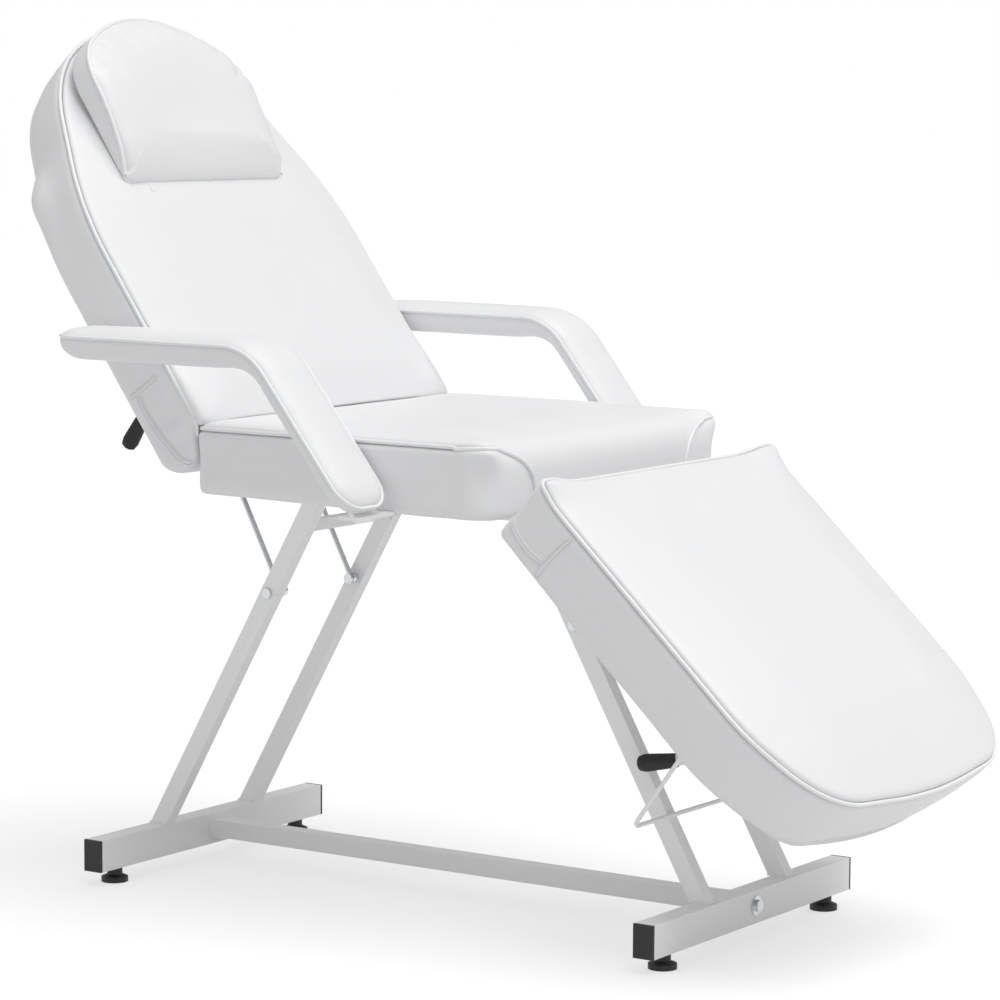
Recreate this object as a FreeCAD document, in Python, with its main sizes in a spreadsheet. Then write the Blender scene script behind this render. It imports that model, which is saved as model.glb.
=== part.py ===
import FreeCAD, Part
import math
import os
import re

import Sketcher

# A three-section adjustable treatment chair on a tube base: seat, backrest and leg rest, two padded
# armrests, a head pillow, struts with sliding carriages and release levers, and levelling feet.
# +X runs towards the sitter's feet, +Y to the sitter's left, +Z up, and the floor is at Z = 0.

Vector = FreeCAD.Vector
doc = FreeCAD.newDocument("TreatmentChair")
sheet = doc.addObject("Spreadsheet::Sheet", "Sizes")
size_names = []


def add_size(name, number):
    """Write one named size into the sheet, beside its name."""
    size_names.append(name)
    row = len(size_names)
    sheet.set("A%d" % row, name)
    sheet.set("B%d" % row, repr(float(number)))
    sheet.setAlias("B%d" % row, name)


# Driving sizes in millimetres and degrees. Places along the base count from the head beam's middle.
DRIVING_SIZES = {
    # Base beams, their end plugs, the tube between them and its two bolts
    "base_offset": 475.7,
    "beam_spacing": 910,
    "beam_length": 516,
    "beam_width": 30,
    "beam_height": 45,
    "tube_wall": 1.5,
    "plug_flange": 4,
    "plug_depth": 20,
    "plug_clearance": 0.2,
    "spine_width": 28,
    "spine_height": 25,
    "spine_lift": 12,
    "spine_plate": 4,
    "spine_bolt_radius": 5,
    "spine_bolt_head_radius": 8,
    "spine_bolt_head_height": 5,
    "spine_washer_radius": 13,
    "spine_washer_thickness": 2,
    "bolt_clearance": 0.1,
    # Levelling feet
    "foot_height": 21,
    "foot_radius": 19,
    "foot_rim_height": 7,
    "foot_neck_radius": 11,
    "foot_stem_radius": 5,
    "foot_stem_reach": 24,
    "foot_inset": 45,
    "foot_gap": 0.2,
    # Legs and the bars between them
    "leg_spread": 104,
    "leg_depth": 20,
    "leg_foot_width": 28.7,
    "leg_lean_distance": 272.3,
    "foot_leg_inset": 7,
    "crossbar_size": 16,
    "crossbar_drop": 34,
    # Seat
    "seat_bottom": 574,
    "seat_start": 211,
    "seat_length": 482,
    "seat_half_width": 298,
    "seat_rear_corner": 12,
    "seat_front_corner": 42,
    # Rails under the three sections, and their hinge ears
    "rail_height": 25,
    "rail_depth": 20,
    "rail_gap": 14,
    "ear_thickness": 5,
    "ear_radius": 9,
    "ear_length": 48,
    "ear_side_gap": 0.3,
    "hinge_radius": 4,
    "bolt_head_radius": 7,
    "bolt_head_height": 4.5,
    # Backrest
    "back_hinge_x": 178,
    "back_hinge_rise": 15,
    "back_angle": 54.5,
    "back_setback": 22.3,
    "back_hinge_height": 12.3,
    "back_length": 672,
    "back_shoulder_distance": 370,
    "back_shoulder_radius": 400,
    "back_head_radius": 256,
    "back_low_corner": 30,
    "back_rail_length": 420,
    # Leg rest
    "rest_hinge_x": 692,
    "rest_hinge_drop": 7,
    "rest_angle": 44.5,
    "rest_setback": 10,
    "rest_length": 586,
    "rest_half_width": 299,
    "rest_low_corner": 14,
    "rest_taper_run": 184,
    "rest_taper_radius": 250,
    "rest_corner_run": 26,
    "rest_corner_radius": 100,
    "rest_end_rise": 8.4,
    "rest_rail_length": 430,
    # Cushions: board, band, piping and crown
    "board_thickness": 12,
    "board_inset": 20,
    "board_clearance": 0.3,
    "band_height": 86,
    "band_undercut_depth": 14,
    "band_hollow_depth": 4,
    "piping_radius": 3.5,
    "piping_clearance": 0.3,
    "neck_inset": 7.6,
    "crown_height": 15,
    "seat_crown_height": 8,
    "crown_run_length": 150,
    "back_nose_depth": 24,
    "back_rim_setback": 26,
    # Pillow
    "pillow_start": 394,
    "pillow_end": 658,
    "pillow_half_width": 192,
    "pillow_side_end": 592,
    "pillow_head_radius": 254,
    "pillow_low_corner": 16,
    "pillow_corner": 40,
    "pillow_thickness": 54,
    "pillow_clearance": 0.4,
    # Armrests
    "arm_inner_distance": 305,
    "arm_width": 102,
    "arm_rear_distance": 44,
    "arm_bend_distance": 386,
    "arm_top_height": 792,
    "arm_thickness": 30,
    "arm_slope_angle": 51.5,
    "arm_low_rise": 13,
    "arm_low_thickness": 18,
    "arm_crown_height": 8,
    "arm_bend_radius": 45,
    "arm_end_round_length": 22,
    "arm_plate_thickness": 5,
    "arm_plate_width": 40,
    "arm_bar_width": 30,
    "arm_piping_radius": 2.5,
    # Struts, their pivots and the carriages on the section rails
    "pivot_height": 417,
    "pivot_radius": 4,
    "collar_radius": 6.5,
    "strut_spread": 84.5,
    "strut_radius": 4,
    "strut_eye_radius": 8,
    "strut_eye_thickness": 8.4,
    "carriage_drop": 33,
    "back_eye_run": 125,
    "back_carriage_length": 65,
    "rest_eye_run": 330,
    "rest_carriage_length": 62,
    "carriage_height": 16,
    "carriage_overlap": 14,
    "carriage_gap": 0.3,
    "cheek_thickness": 3,
    "cheek_gap": 1,
    "cheek_height": 22,
    "carriage_shaft_radius": 6,
    "collar_width": 6,
    "collar_step": 2.5,
    # Release levers
    "lever_spread": 130,
    "lever_thickness": 5,
    "lever_width": 14,
    "lever_hub_radius": 11,
    "lever_length": 72,
    "grip_length": 58,
    "grip_radius": 12,
    "grip_root_radius": 9.5,
    "back_lever_angle": 249.1,
    "rest_lever_angle": 234.7,
    # Stop bail under the leg rest
    "bail_wire_radius": 3,
    "bail_spread": 206,
    "bail_root_run": 367,
    "bail_contact_height": 176,
    "bail_corner": 14,
    "bail_plate_radius": 13,
    "bail_plate_thickness": 2,
    "contact_gap": 0.3,
}
for size_name, size_value in DRIVING_SIZES.items():
    add_size(size_name, size_value)
doc.recompute()

# The leg rest's far corner, as a share of its half width, and the share of its end that is rounded.
rest_corner_width_share = 0.785
rest_end_round_share = 0.6
# Crown levels: shares of the crown's height and of the run in from the edge.
crown_shares = ((0.0, 0.0), (0.45, 0.16), (0.8, 0.48), (1.0, 1.0))
# Band levels: shares of the band's height, of its undercut, of its hollow, and at the low end of the
# nose that bulges out and of the rim's set-back.
band_shares = ((0.0, 1.0, 0.0, 0.0, 0.0), (0.12, 0.1, 0.4, 0.5, 0.0), (0.5, 0.0, 1.0, 1.0, 0.0),
               (0.7, 0.0, 0.75, 0.55, 0.0), (0.85, 0.0, 0.35, 0.0, 0.3), (1.0, 0.0, 0.0, 0.0, 1.0))
# Pillow levels: shares of its thickness, of the corner taken off the side, and of the set-back.
pillow_shares = ((0.0, 0.35), (0.2, 0.0), (0.6, 0.1), (0.85, 0.5), (1.0, 1.3))


def bind(text):
    """Turn size names in a sum into references to the sheet's cells."""
    return re.sub(r"[a-z][a-z_]*", lambda word: "Sizes." + word.group() if word.group() in size_names
                  else word.group(), text)


def val(text):
    """The number that a sum of size names gives."""
    return float(sheet.evalExpression(bind(text)))


def turn(x_axis, y_axis, z_axis):
    """Rotation whose local axes point along the three given directions."""
    return FreeCAD.Rotation(Vector(*x_axis), Vector(*y_axis), Vector(*z_axis), "ZXY")


# Derived places, kept in the sheet beside the driving sizes.
add_size("beam_top", val("foot_height + beam_height"))
add_size("rail_bottom", val("seat_bottom - rail_height"))
doc.recompute()
add_size("leg_rise", val("rail_bottom - beam_top"))
add_size("rail_inner", val("leg_spread - rail_depth / 2"))
add_size("rail_outer", val("leg_spread + rail_depth / 2"))
add_size("neck_height", val("2 * piping_radius + 2 * piping_clearance"))
add_size("back_half_width", val("seat_half_width"))
add_size("back_lever_run", val("back_eye_run + back_carriage_length"))
add_size("rest_lever_run", val("rest_eye_run + rest_carriage_length"))
doc.recompute()
add_size("leg_wall_run", val("tube_wall") * math.hypot(1, val("leg_lean_distance / leg_rise")))
add_size("pivot_run", val("leg_foot_width / 2 + (pivot_height - beam_top) * leg_lean_distance / leg_rise"))
doc.recompute()

head_x = val("-base_offset")
foot_x = val("beam_spacing - base_offset")
back_angle = math.radians(val("back_angle"))
rest_angle = math.radians(val("rest_angle"))
back_axis = (-math.cos(back_angle), 0, math.sin(back_angle))
back_normal = (math.sin(back_angle), 0, math.cos(back_angle))
rest_axis = (math.cos(rest_angle), 0, -math.sin(rest_angle))
rest_normal = (math.sin(rest_angle), 0, math.cos(rest_angle))
back_hinge = Vector(head_x + val("back_hinge_x"), 0, val("seat_bottom + back_hinge_rise"))
rest_hinge = Vector(head_x + val("rest_hinge_x"), 0, val("seat_bottom - rest_hinge_drop"))
# Each section has its own frame at its hinge: local X along the section away from the seat, local Z
# out of the cushion. The backrest's local Y therefore points to the sitter's right.
back_frame = FreeCAD.Placement(back_hinge, turn(back_axis, (0, -1, 0), back_normal))
rest_frame = FreeCAD.Placement(rest_hinge, turn(rest_axis, (0, 1, 0), rest_normal))
seat_frame = FreeCAD.Placement(Vector(head_x, 0, val("seat_bottom")), FreeCAD.Rotation())
world_frame = FreeCAD.Placement()
# The legs' outer edges on the beams, and the pivots of the struts on the legs
head_edge = head_x - val("beam_width / 2")
foot_edge = foot_x + val("beam_width / 2 - foot_leg_inset")
head_pivot = Vector(head_edge + val("pivot_run"), 0, val("pivot_height"))
foot_pivot = Vector(foot_edge - val("pivot_run"), 0, val("pivot_height"))
finished = []


def local_place(frame, x=0.0, y=0.0, z=0.0, rotation=None):
    """Placement at a point of a frame, turned inside that frame."""
    return frame.multiply(FreeCAD.Placement(Vector(x, y, z), rotation or FreeCAD.Rotation()))


def finish(obj, label, placement=None):
    """Name a finished sub-part, place it and list it for the export."""
    obj.Label = label
    if placement is not None:
        obj.Placement = placement
    finished.append(obj)
    return obj


def new_body(name):
    return doc.addObject("PartDesign::Body", name + "_body")


def sketch(body, plane, loops, lift="0"):
    """Sketch on one of the body's own planes. A loop is a list of corner sums, or a circle's three."""
    made = body.newObject("Sketcher::SketchObject", body.Name + "_sketch")
    origin_planes = {feature.Role: feature for feature in body.Origin.OriginFeatures}
    made.AttachmentSupport = [(origin_planes[plane], "")]
    made.MapMode = "FlatFace"
    made.setExpression("AttachmentOffset.Base.z", bind(lift))
    for loop in loops:
        first = made.GeometryCount
        if isinstance(loop, dict):
            centre = Vector(val(loop["x"]), val(loop["y"]), 0)
            made.addGeometry(Part.Circle(centre, Vector(0, 0, 1), val(loop["radius"])))
            bound = made.addConstraint(Sketcher.Constraint("Radius", first, val(loop["radius"])))
            made.setExpression("Constraints[%d]" % bound, bind(loop["radius"]))
            anchors = [(first, 3, loop["x"], loop["y"])]
        else:
            corners = [Vector(val(x), val(y), 0) for x, y in loop]
            count = len(corners)
            for index in range(count):
                made.addGeometry(Part.LineSegment(corners[index], corners[(index + 1) % count]))
            for index in range(count):
                after = first + (index + 1) % count
                made.addConstraint(Sketcher.Constraint("Coincident", first + index, 2, after, 1))
            anchors = [(first + index, 1, x, y) for index, (x, y) in enumerate(loop)]
        for item, point, x, y in anchors:
            for direction, text in (("DistanceX", x), ("DistanceY", y)):
                bound = made.addConstraint(Sketcher.Constraint(direction, -1, 1, item, point, val(text)))
                made.setExpression("Constraints[%d]" % bound, bind(text))
    return made


def pad(body, profile, length, midplane=False, backwards=False):
    made = body.newObject("PartDesign::Pad", body.Name + "_pad")
    made.Profile = profile
    made.setExpression("Length", bind(length))
    made.Midplane = midplane
    made.Reversed = backwards
    return made


def pocket(body, profile, length, midplane=True):
    made = body.newObject("PartDesign::Pocket", body.Name + "_pocket")
    made.Profile = profile
    made.setExpression("Length", bind(length))
    made.Midplane = midplane
    return made


def revolve(body, profile):
    """Full turn of a profile about its sketch's upright axis."""
    made = body.newObject("PartDesign::Revolution", body.Name + "_revolution")
    made.Profile = profile
    made.ReferenceAxis = (profile, ["V_Axis"])
    made.Angle = 360
    return made


def rectangle(width, height, shrink="0"):
    """Corner sums of a centred rectangle, drawn in by a wall on every side."""
    across = "(%s) / 2 - (%s)" % (width, shrink)
    upward = "(%s) / 2 - (%s)" % (height, shrink)
    return [("-(%s)" % across, "-(%s)" % upward), (across, "-(%s)" % upward),
            (across, upward), ("-(%s)" % across, upward)]


def circle(x, y, radius):
    return {"x": x, "y": y, "radius": radius}


def tube(name, width, height, length):
    """Rectangular tube along the body's X axis, starting at its origin."""
    body = new_body(name)
    profile = sketch(body, "YZ_Plane", [rectangle(width, height), rectangle(width, height, "tube_wall")])
    pad(body, profile, length)
    return body


def spin(steps):
    """Turned part about the body's Z axis, from its radius and height sums, axis points included."""
    body = new_body("turned")
    revolve(body, sketch(body, "XZ_Plane", [steps]))
    return body


ACROSS = FreeCAD.Rotation(Vector(0, 0, 1), 90)


# Base: two beams across, with plugs in their ends, and one tube between them, bolted at both ends
def make_beam(label, x):
    body = tube(label, "beam_width", "beam_height", "beam_length")
    bolt_hole = circle("beam_length / 2", "spine_lift + spine_height / 2 - beam_height / 2",
                       "spine_bolt_radius + bolt_clearance")
    pocket(body, sketch(body, "XZ_Plane", [bolt_hole]), "2 * beam_width")
    stems = [circle(place, "0", "foot_stem_radius + bolt_clearance")
             for place in ("foot_inset", "beam_length - foot_inset")]
    pocket(body, sketch(body, "XY_Plane", stems), "beam_height", midplane=False)
    middle = val("foot_height + beam_height / 2")
    return finish(body, label, local_place(world_frame, x, -val("beam_length") / 2, middle, ACROSS))


def make_plug(label, x, side):
    body = new_body(label)
    pad(body, sketch(body, "YZ_Plane", [rectangle("beam_width", "beam_height")]), "plug_flange")
    insert = rectangle("beam_width", "beam_height", "tube_wall + plug_clearance")
    pad(body, sketch(body, "YZ_Plane", [insert]), "plug_depth", backwards=True)
    middle = val("foot_height + beam_height / 2")
    facing = FreeCAD.Rotation(Vector(0, 0, 1), 90 * side)
    place = local_place(world_frame, x, side * val("beam_length") / 2, middle, facing)
    return finish(body, label, place)


spine_middle = val("foot_height + spine_lift + spine_height / 2")
for beam_name, beam_x in (("head", head_x), ("foot", foot_x)):
    make_beam(beam_name + "_base_beam", beam_x)
    for side_name, side in (("left", 1), ("right", -1)):
        make_plug("%s_beam_plug_%s" % (beam_name, side_name), beam_x, side)

spine = tube("base_spine", "spine_width", "spine_height", "beam_spacing - beam_width")
plate_loops = [rectangle("spine_width", "spine_height", "tube_wall / 2"),
               circle("0", "0", "spine_bolt_radius + bolt_clearance")]
pad(spine, sketch(spine, "YZ_Plane", plate_loops), "spine_plate")
pad(spine, sketch(spine, "YZ_Plane", plate_loops, "beam_spacing - beam_width - spine_plate"), "spine_plate")
finish(spine, "base_spine", local_place(world_frame, head_x + val("beam_width / 2"), 0, spine_middle))


def make_spine_bolt(label, x, facing):
    reach = "-(beam_width + spine_plate)"
    body = spin([("0", reach), ("spine_bolt_radius", reach), ("spine_bolt_radius", "0"),
                 ("spine_washer_radius", "0"), ("spine_washer_radius", "spine_washer_thickness"),
                 ("spine_bolt_head_radius", "spine_washer_thickness"),
                 ("spine_bolt_head_radius", "spine_washer_thickness + spine_bolt_head_height"),
                 ("0", "spine_washer_thickness + spine_bolt_head_height")])
    outwards = FreeCAD.Rotation(Vector(0, 1, 0), 90 * facing)
    place = local_place(world_frame, x + facing * val("beam_width / 2"), 0, spine_middle, outwards)
    return finish(body, label, place)


make_spine_bolt("spine_bolt_head_end", head_x, -1)
make_spine_bolt("spine_bolt_foot_end", foot_x, 1)


# Levelling feet: a rubber-rimmed pad, a neck and a stem that turns up into the beam
def make_foot(label, x, side):
    neck_top = "foot_height - foot_gap"
    body = spin([("0", "0"), ("foot_radius", "0"), ("foot_radius", "foot_rim_height"),
                 ("foot_neck_radius", "1.5 * foot_rim_height"), ("foot_neck_radius", neck_top),
                 ("foot_stem_radius", neck_top), ("foot_stem_radius", "foot_height + foot_stem_reach"),
                 ("0", "foot_height + foot_stem_reach")])
    return finish(body, label, local_place(world_frame, x, side * val("beam_length / 2 - foot_inset"), 0))


for beam_name, beam_x in (("head", head_x), ("foot", foot_x)):
    for side_name, side in (("left", 1), ("right", -1)):
        make_foot("%s_levelling_foot_%s" % (beam_name, side_name), beam_x, side)


# Legs: four leaning tubes, mitred flat on the beams and under the seat rails
def make_leg(label, edge, forward, side):
    """Side profile in a frame at the leg's outer edge, where local X leans in over the base."""
    body = new_body(label)
    outer = [("0", "0"), ("leg_foot_width", "0"), ("leg_foot_width + leg_lean_distance", "leg_rise"),
             ("leg_lean_distance", "leg_rise")]
    inner = [("leg_wall_run", "0"), ("leg_foot_width - leg_wall_run", "0"),
             ("leg_foot_width - leg_wall_run + leg_lean_distance", "leg_rise"),
             ("leg_wall_run + leg_lean_distance", "leg_rise")]
    pad(body, sketch(body, "XZ_Plane", [outer]), "leg_depth", midplane=True)
    pocket(body, sketch(body, "XZ_Plane", [inner]), "leg_depth - 2 * tube_wall")
    hole = circle("pivot_run", "pivot_height - beam_top", "pivot_radius + bolt_clearance")
    pocket(body, sketch(body, "XZ_Plane", [hole]), "2 * leg_depth")
    lean = FreeCAD.Rotation() if forward > 0 else FreeCAD.Rotation(Vector(0, 0, 1), 180)
    place = local_place(world_frame, edge, side * val("leg_spread"), val("beam_top"), lean)
    return finish(body, label, place)


def make_crossbar(label, edge, forward):
    body = tube(label, "crossbar_size", "crossbar_size", "2 * leg_spread - leg_depth")
    rise = val("leg_rise - crossbar_drop")
    along = val("leg_foot_width / 2") + rise * val("leg_lean_distance / leg_rise")
    start = -val("leg_spread - leg_depth / 2")
    return finish(body, label, local_place(world_frame, edge + forward * along, start,
                                           val("beam_top") + rise, ACROSS))


for leg_end, edge, forward in (("head", head_edge, 1), ("foot", foot_edge, -1)):
    for side_name, side in (("left", 1), ("right", -1)):
        make_leg("%s_leg_%s" % (leg_end, side_name), edge, forward, side)
    make_crossbar(leg_end + "_leg_crossbar", edge, forward)


# Rails: tubes under the sections, with hinge ears on their inner faces
def make_seat_rail():
    """Left seat rail, counted along the seat from the head beam's middle."""
    start = "back_hinge_x + rail_gap"
    body = new_body("seat_rail")
    middle = "rail_inner + rail_depth / 2"
    loops = [[("%s %s rail_depth / 2" % (middle, sign), height) for sign, height in
              (("-", "-rail_height"), ("+", "-rail_height"), ("+", "0"), ("-", "0"))],
             [("%s %s (rail_depth / 2 - tube_wall)" % (middle, sign), height) for sign, height in
              (("-", "-rail_height + tube_wall"), ("+", "-rail_height + tube_wall"),
               ("+", "-tube_wall"), ("-", "-tube_wall"))]]
    pad(body, sketch(body, "YZ_Plane", loops, start), "rest_hinge_x - back_hinge_x - 2 * rail_gap")
    rear_ear = [("back_hinge_x - ear_radius", "back_hinge_rise"),
                ("back_hinge_x - ear_radius", "-rail_height"),
                ("back_hinge_x + ear_length", "-rail_height"),
                ("back_hinge_x + ear_length", "0"),
                ("seat_start - 2 * piping_radius", "0"), ("back_hinge_x + ear_radius", "back_hinge_rise")]
    front_ear = [("rest_hinge_x - ear_length", "-rail_height"), ("rest_hinge_x", "-rail_height"),
                 ("rest_hinge_x + ear_radius", "-rest_hinge_drop - ear_radius"),
                 ("rest_hinge_x + ear_radius", "-rest_hinge_drop"),
                 ("rest_hinge_x + ear_radius / 2", "-contact_gap"),
                 ("rest_hinge_x - ear_length", "-contact_gap")]
    # The sketches' normal points to -Y, so the ears' places across count backwards
    rear_tip = circle("back_hinge_x", "back_hinge_rise", "ear_radius")
    for ear in (rear_ear, front_ear, rear_tip):
        pad(body, sketch(body, "XZ_Plane", [ear], "-rail_inner"), "ear_thickness")
    holes = [circle("back_hinge_x", "back_hinge_rise", "hinge_radius + bolt_clearance"),
             circle("rest_hinge_x", "-rest_hinge_drop", "hinge_radius + bolt_clearance")]
    pocket(body, sketch(body, "XZ_Plane", holes, "-rail_inner"), "4 * ear_thickness")
    return body


def finish_pair(body, names, frame):
    """Place a body that lies on its frame's +Y side, and its mirror image across the chair."""
    finish(body, names[0], frame)
    mirrored = doc.addObject("Part::Mirroring", body.Name + "_mirror")
    mirrored.Source = body
    mirrored.Normal = Vector(0, 1, 0)
    finish(mirrored, names[1])


finish_pair(make_seat_rail(), ("seat_rail_left", "seat_rail_right"), seat_frame)


def make_section_rail(name, length, setback, drop):
    """Rail under a moving section, in the section's hinge frame, on its +Y side."""
    body = new_body(name)
    start = "%s + rail_gap" % setback
    middle = "rail_inner + rail_depth / 2"
    loops = [[("%s %s rail_depth / 2" % (middle, sign), height) for sign, height in
              (("-", "-%s - rail_height" % drop), ("+", "-%s - rail_height" % drop),
               ("+", "-%s" % drop), ("-", "-%s" % drop))],
             [("%s %s (rail_depth / 2 - tube_wall)" % (middle, sign), height) for sign, height in
              (("-", "-%s - rail_height + tube_wall" % drop), ("+", "-%s - rail_height + tube_wall" % drop),
               ("+", "-%s - tube_wall" % drop), ("-", "-%s - tube_wall" % drop))]]
    pad(body, sketch(body, "YZ_Plane", loops, start), length)
    low = "-%s - rail_height" % drop
    arm = [("-ear_radius", "0"), ("0", "-ear_radius"), (start, low), (start + " + ear_length", low),
           (start + " + ear_length", "-%s - contact_gap" % drop),
           (start, "-%s - contact_gap - ear_radius / 2" % drop), ("ear_radius", "0")]
    spacer = [(start, low), (start + " + ear_length", low),
              (start + " + ear_length", "-%s - contact_gap" % drop), (start, "-%s - contact_gap" % drop)]
    ear_outer = "-(rail_inner - ear_thickness - ear_side_gap)"
    pad(body, sketch(body, "XZ_Plane", [arm], ear_outer), "ear_thickness")
    pad(body, sketch(body, "XZ_Plane", [circle("0", "0", "ear_radius")], ear_outer), "ear_thickness")
    pad(body, sketch(body, "XZ_Plane", [spacer], "-rail_inner"), "ear_thickness + ear_side_gap")
    hole = circle("0", "0", "hinge_radius + bolt_clearance")
    pocket(body, sketch(body, "XZ_Plane", [hole], ear_outer), "4 * ear_thickness")
    return body


back_rail = make_section_rail("back_rail", "back_rail_length", "back_setback", "back_hinge_height")
finish_pair(back_rail, ("backrest_rail_right", "backrest_rail_left"), back_frame)
rest_rail = make_section_rail("rest_rail", "rest_rail_length", "rest_setback", "0")
finish_pair(rest_rail, ("legrest_rail_left", "legrest_rail_right"), rest_frame)


# Hinge and pivot bolts: a head, a shank and a nut, one on each side, their heads outside
def make_bolts(name, radius, head_face, nut_face, hinge, collar_face=None):
    """The faces are sums for the distances from the chair's middle. A collar spaces a strut off its leg."""
    reach = "((%s) - (%s))" % (head_face, nut_face)
    steps = [("0", "-%s - bolt_head_height" % reach), ("bolt_head_radius", "-%s - bolt_head_height" % reach),
             ("bolt_head_radius", "-%s" % reach), (radius, "-%s" % reach)]
    if collar_face:
        collar = "((%s) - (%s))" % (head_face, collar_face)
        steps += [(radius, "-%s" % collar), ("collar_radius", "-%s" % collar),
                  ("collar_radius", "-leg_depth"), (radius, "-leg_depth")]
    steps += [(radius, "0"), ("bolt_head_radius", "0"), ("bolt_head_radius", "bolt_head_height"),
              ("0", "bolt_head_height")]
    for side_name, side in (("left", 1), ("right", -1)):
        facing = FreeCAD.Rotation(Vector(1, 0, 0), -90 * side)
        place = local_place(world_frame, hinge.x, side * val(head_face), hinge.z, facing)
        finish(spin(steps), "%s_%s" % (name, side_name), place)


ear_inside = "rail_inner - 2 * ear_thickness - 2 * ear_side_gap"
make_bolts("backrest_hinge_bolt", "hinge_radius", "rail_inner", ear_inside, back_hinge)
make_bolts("legrest_hinge_bolt", "hinge_radius", "rail_inner", ear_inside, rest_hinge)
strut_inside = "strut_spread - strut_eye_thickness / 2 - contact_gap"
strut_outside = "strut_spread + strut_eye_thickness / 2 + contact_gap"
make_bolts("head_pivot_bolt", "pivot_radius", "rail_outer", strut_inside, head_pivot, strut_outside)
make_bolts("foot_pivot_bolt", "pivot_radius", "rail_outer", strut_inside, foot_pivot, strut_outside)


# Cushions, boards and piping, each from one outline of corners with their own radii
def inset_corners(corners, inset):
    """Move every edge of a counter-clockwise outline inwards and tighten its corners by as much."""
    count = len(corners)
    moved = []
    for index in range(count):
        before, here, after = corners[index - 1], corners[index], corners[(index + 1) % count]
        first = Vector(here[0] - before[0], here[1] - before[1], 0).normalize()
        second = Vector(after[0] - here[0], after[1] - here[1], 0).normalize()
        normal_sum = Vector(-first.y - second.y, first.x + second.x, 0)
        spread = 1 + first.dot(second)
        x = here[0] + normal_sum.x * inset / spread
        y = here[1] + normal_sum.y * inset / spread
        moved.append((x, y, max(here[2] - inset, here[2] * least_radius_share)))
    return moved


least_radius_share = 0.15


def drawn_in_corners(corners, run):
    """Shrink an outline towards its middle by a run on every side, for the levels of a crown."""
    xs = [corner[0] for corner in corners]
    ys = [corner[1] for corner in corners]
    middle = (max(xs) + min(xs)) / 2
    along = 1 - 2 * run / (max(xs) - min(xs))
    across = 1 - 2 * run / (max(ys) - min(ys))
    return [(middle + (x - middle) * along, y * across, radius * min(along, across))
            for x, y, radius in corners]


def outline_wire(corners, height):
    """Closed wire of lines and tangent arcs round an outline's corners."""
    count = len(corners)
    arcs = []
    for index in range(count):
        here = Vector(corners[index][0], corners[index][1], height)
        before = Vector(corners[index - 1][0], corners[index - 1][1], height)
        after = Vector(corners[(index + 1) % count][0], corners[(index + 1) % count][1], height)
        to_before = (before - here).normalize()
        to_after = (after - here).normalize()
        half = to_before.getAngle(to_after) / 2
        radius = corners[index][2]
        start = here + to_before * (radius / math.tan(half))
        end = here + to_after * (radius / math.tan(half))
        middle = here + (to_before + to_after).normalize() * (radius / math.sin(half) - radius)
        arcs.append((start, middle, end))
    edges = []
    for index in range(count):
        start, middle, end = arcs[index]
        edges.append(Part.Arc(start, middle, end).toShape())
        edges.append(Part.LineSegment(end, arcs[(index + 1) % count][0]).toShape())
    return Part.Wire(edges)


def headed_outline(low, side_end, half_width, head_radius, top, corner, shoulder):
    """Straight sides, shoulders and a round head that the shoulders' lines touch."""
    centre = top - head_radius
    gap = math.hypot(side_end - centre, half_width)
    towards = math.atan2(-half_width, centre - side_end)
    slope = towards + math.asin(head_radius / gap)
    apex = side_end + half_width / math.tan(-slope)
    return [(low, -half_width, corner), (side_end, -half_width, shoulder), (apex, 0, head_radius),
            (side_end, half_width, shoulder), (low, half_width, corner)]


def mirrored_outline(low, half_width, corner, turns):
    """Outline from its low corner and its turns on the -Y side, mirrored about the middle."""
    right = [(low, -half_width, corner)] + [(x, -y, radius) for x, y, radius in turns if y]
    tip = [(x, y, radius) for x, y, radius in turns if not y]
    left = [(x, -y, radius) for x, y, radius in reversed(right)]
    return right + tip + left


def back_outline(low):
    return headed_outline(low, val("back_setback + back_shoulder_distance"), val("back_half_width"),
                          val("back_head_radius"), val("back_setback + back_length"),
                          val("back_low_corner"), val("back_shoulder_radius"))


def rest_outline(low):
    end = val("rest_setback + rest_length")
    half_width = val("rest_half_width")
    corner_width = half_width * rest_corner_width_share
    rise = val("rest_end_rise + rest_corner_run")
    end_radius = rest_end_round_share * corner_width * corner_width / rise
    turns = [(end - val("rest_taper_run"), half_width, val("rest_taper_radius")),
             (end - val("rest_corner_run"), corner_width, val("rest_corner_radius")),
             (end + val("rest_end_rise"), 0, end_radius)]
    return mirrored_outline(low, half_width, val("rest_low_corner"), turns)


def seat_outline(low):
    end = val("seat_start + seat_length")
    return mirrored_outline(low, val("seat_half_width"), val("seat_rear_corner"),
                            [(end, val("seat_half_width"), val("seat_front_corner"))])


def pillow_outline(low):
    return headed_outline(low, val("back_setback + pillow_side_end"), val("pillow_half_width"),
                          val("pillow_head_radius"), val("back_setback + pillow_end"),
                          val("pillow_low_corner"), val("pillow_corner"))


def make_feature(label, shape, placement):
    feature = doc.addObject("Part::Feature", label + "_feature")
    feature.Shape = shape
    return finish(feature, label, placement)


def prism(corners, bottom, top):
    return Part.Face(outline_wire(corners, bottom)).extrude(Vector(0, 0, top - bottom))


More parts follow.
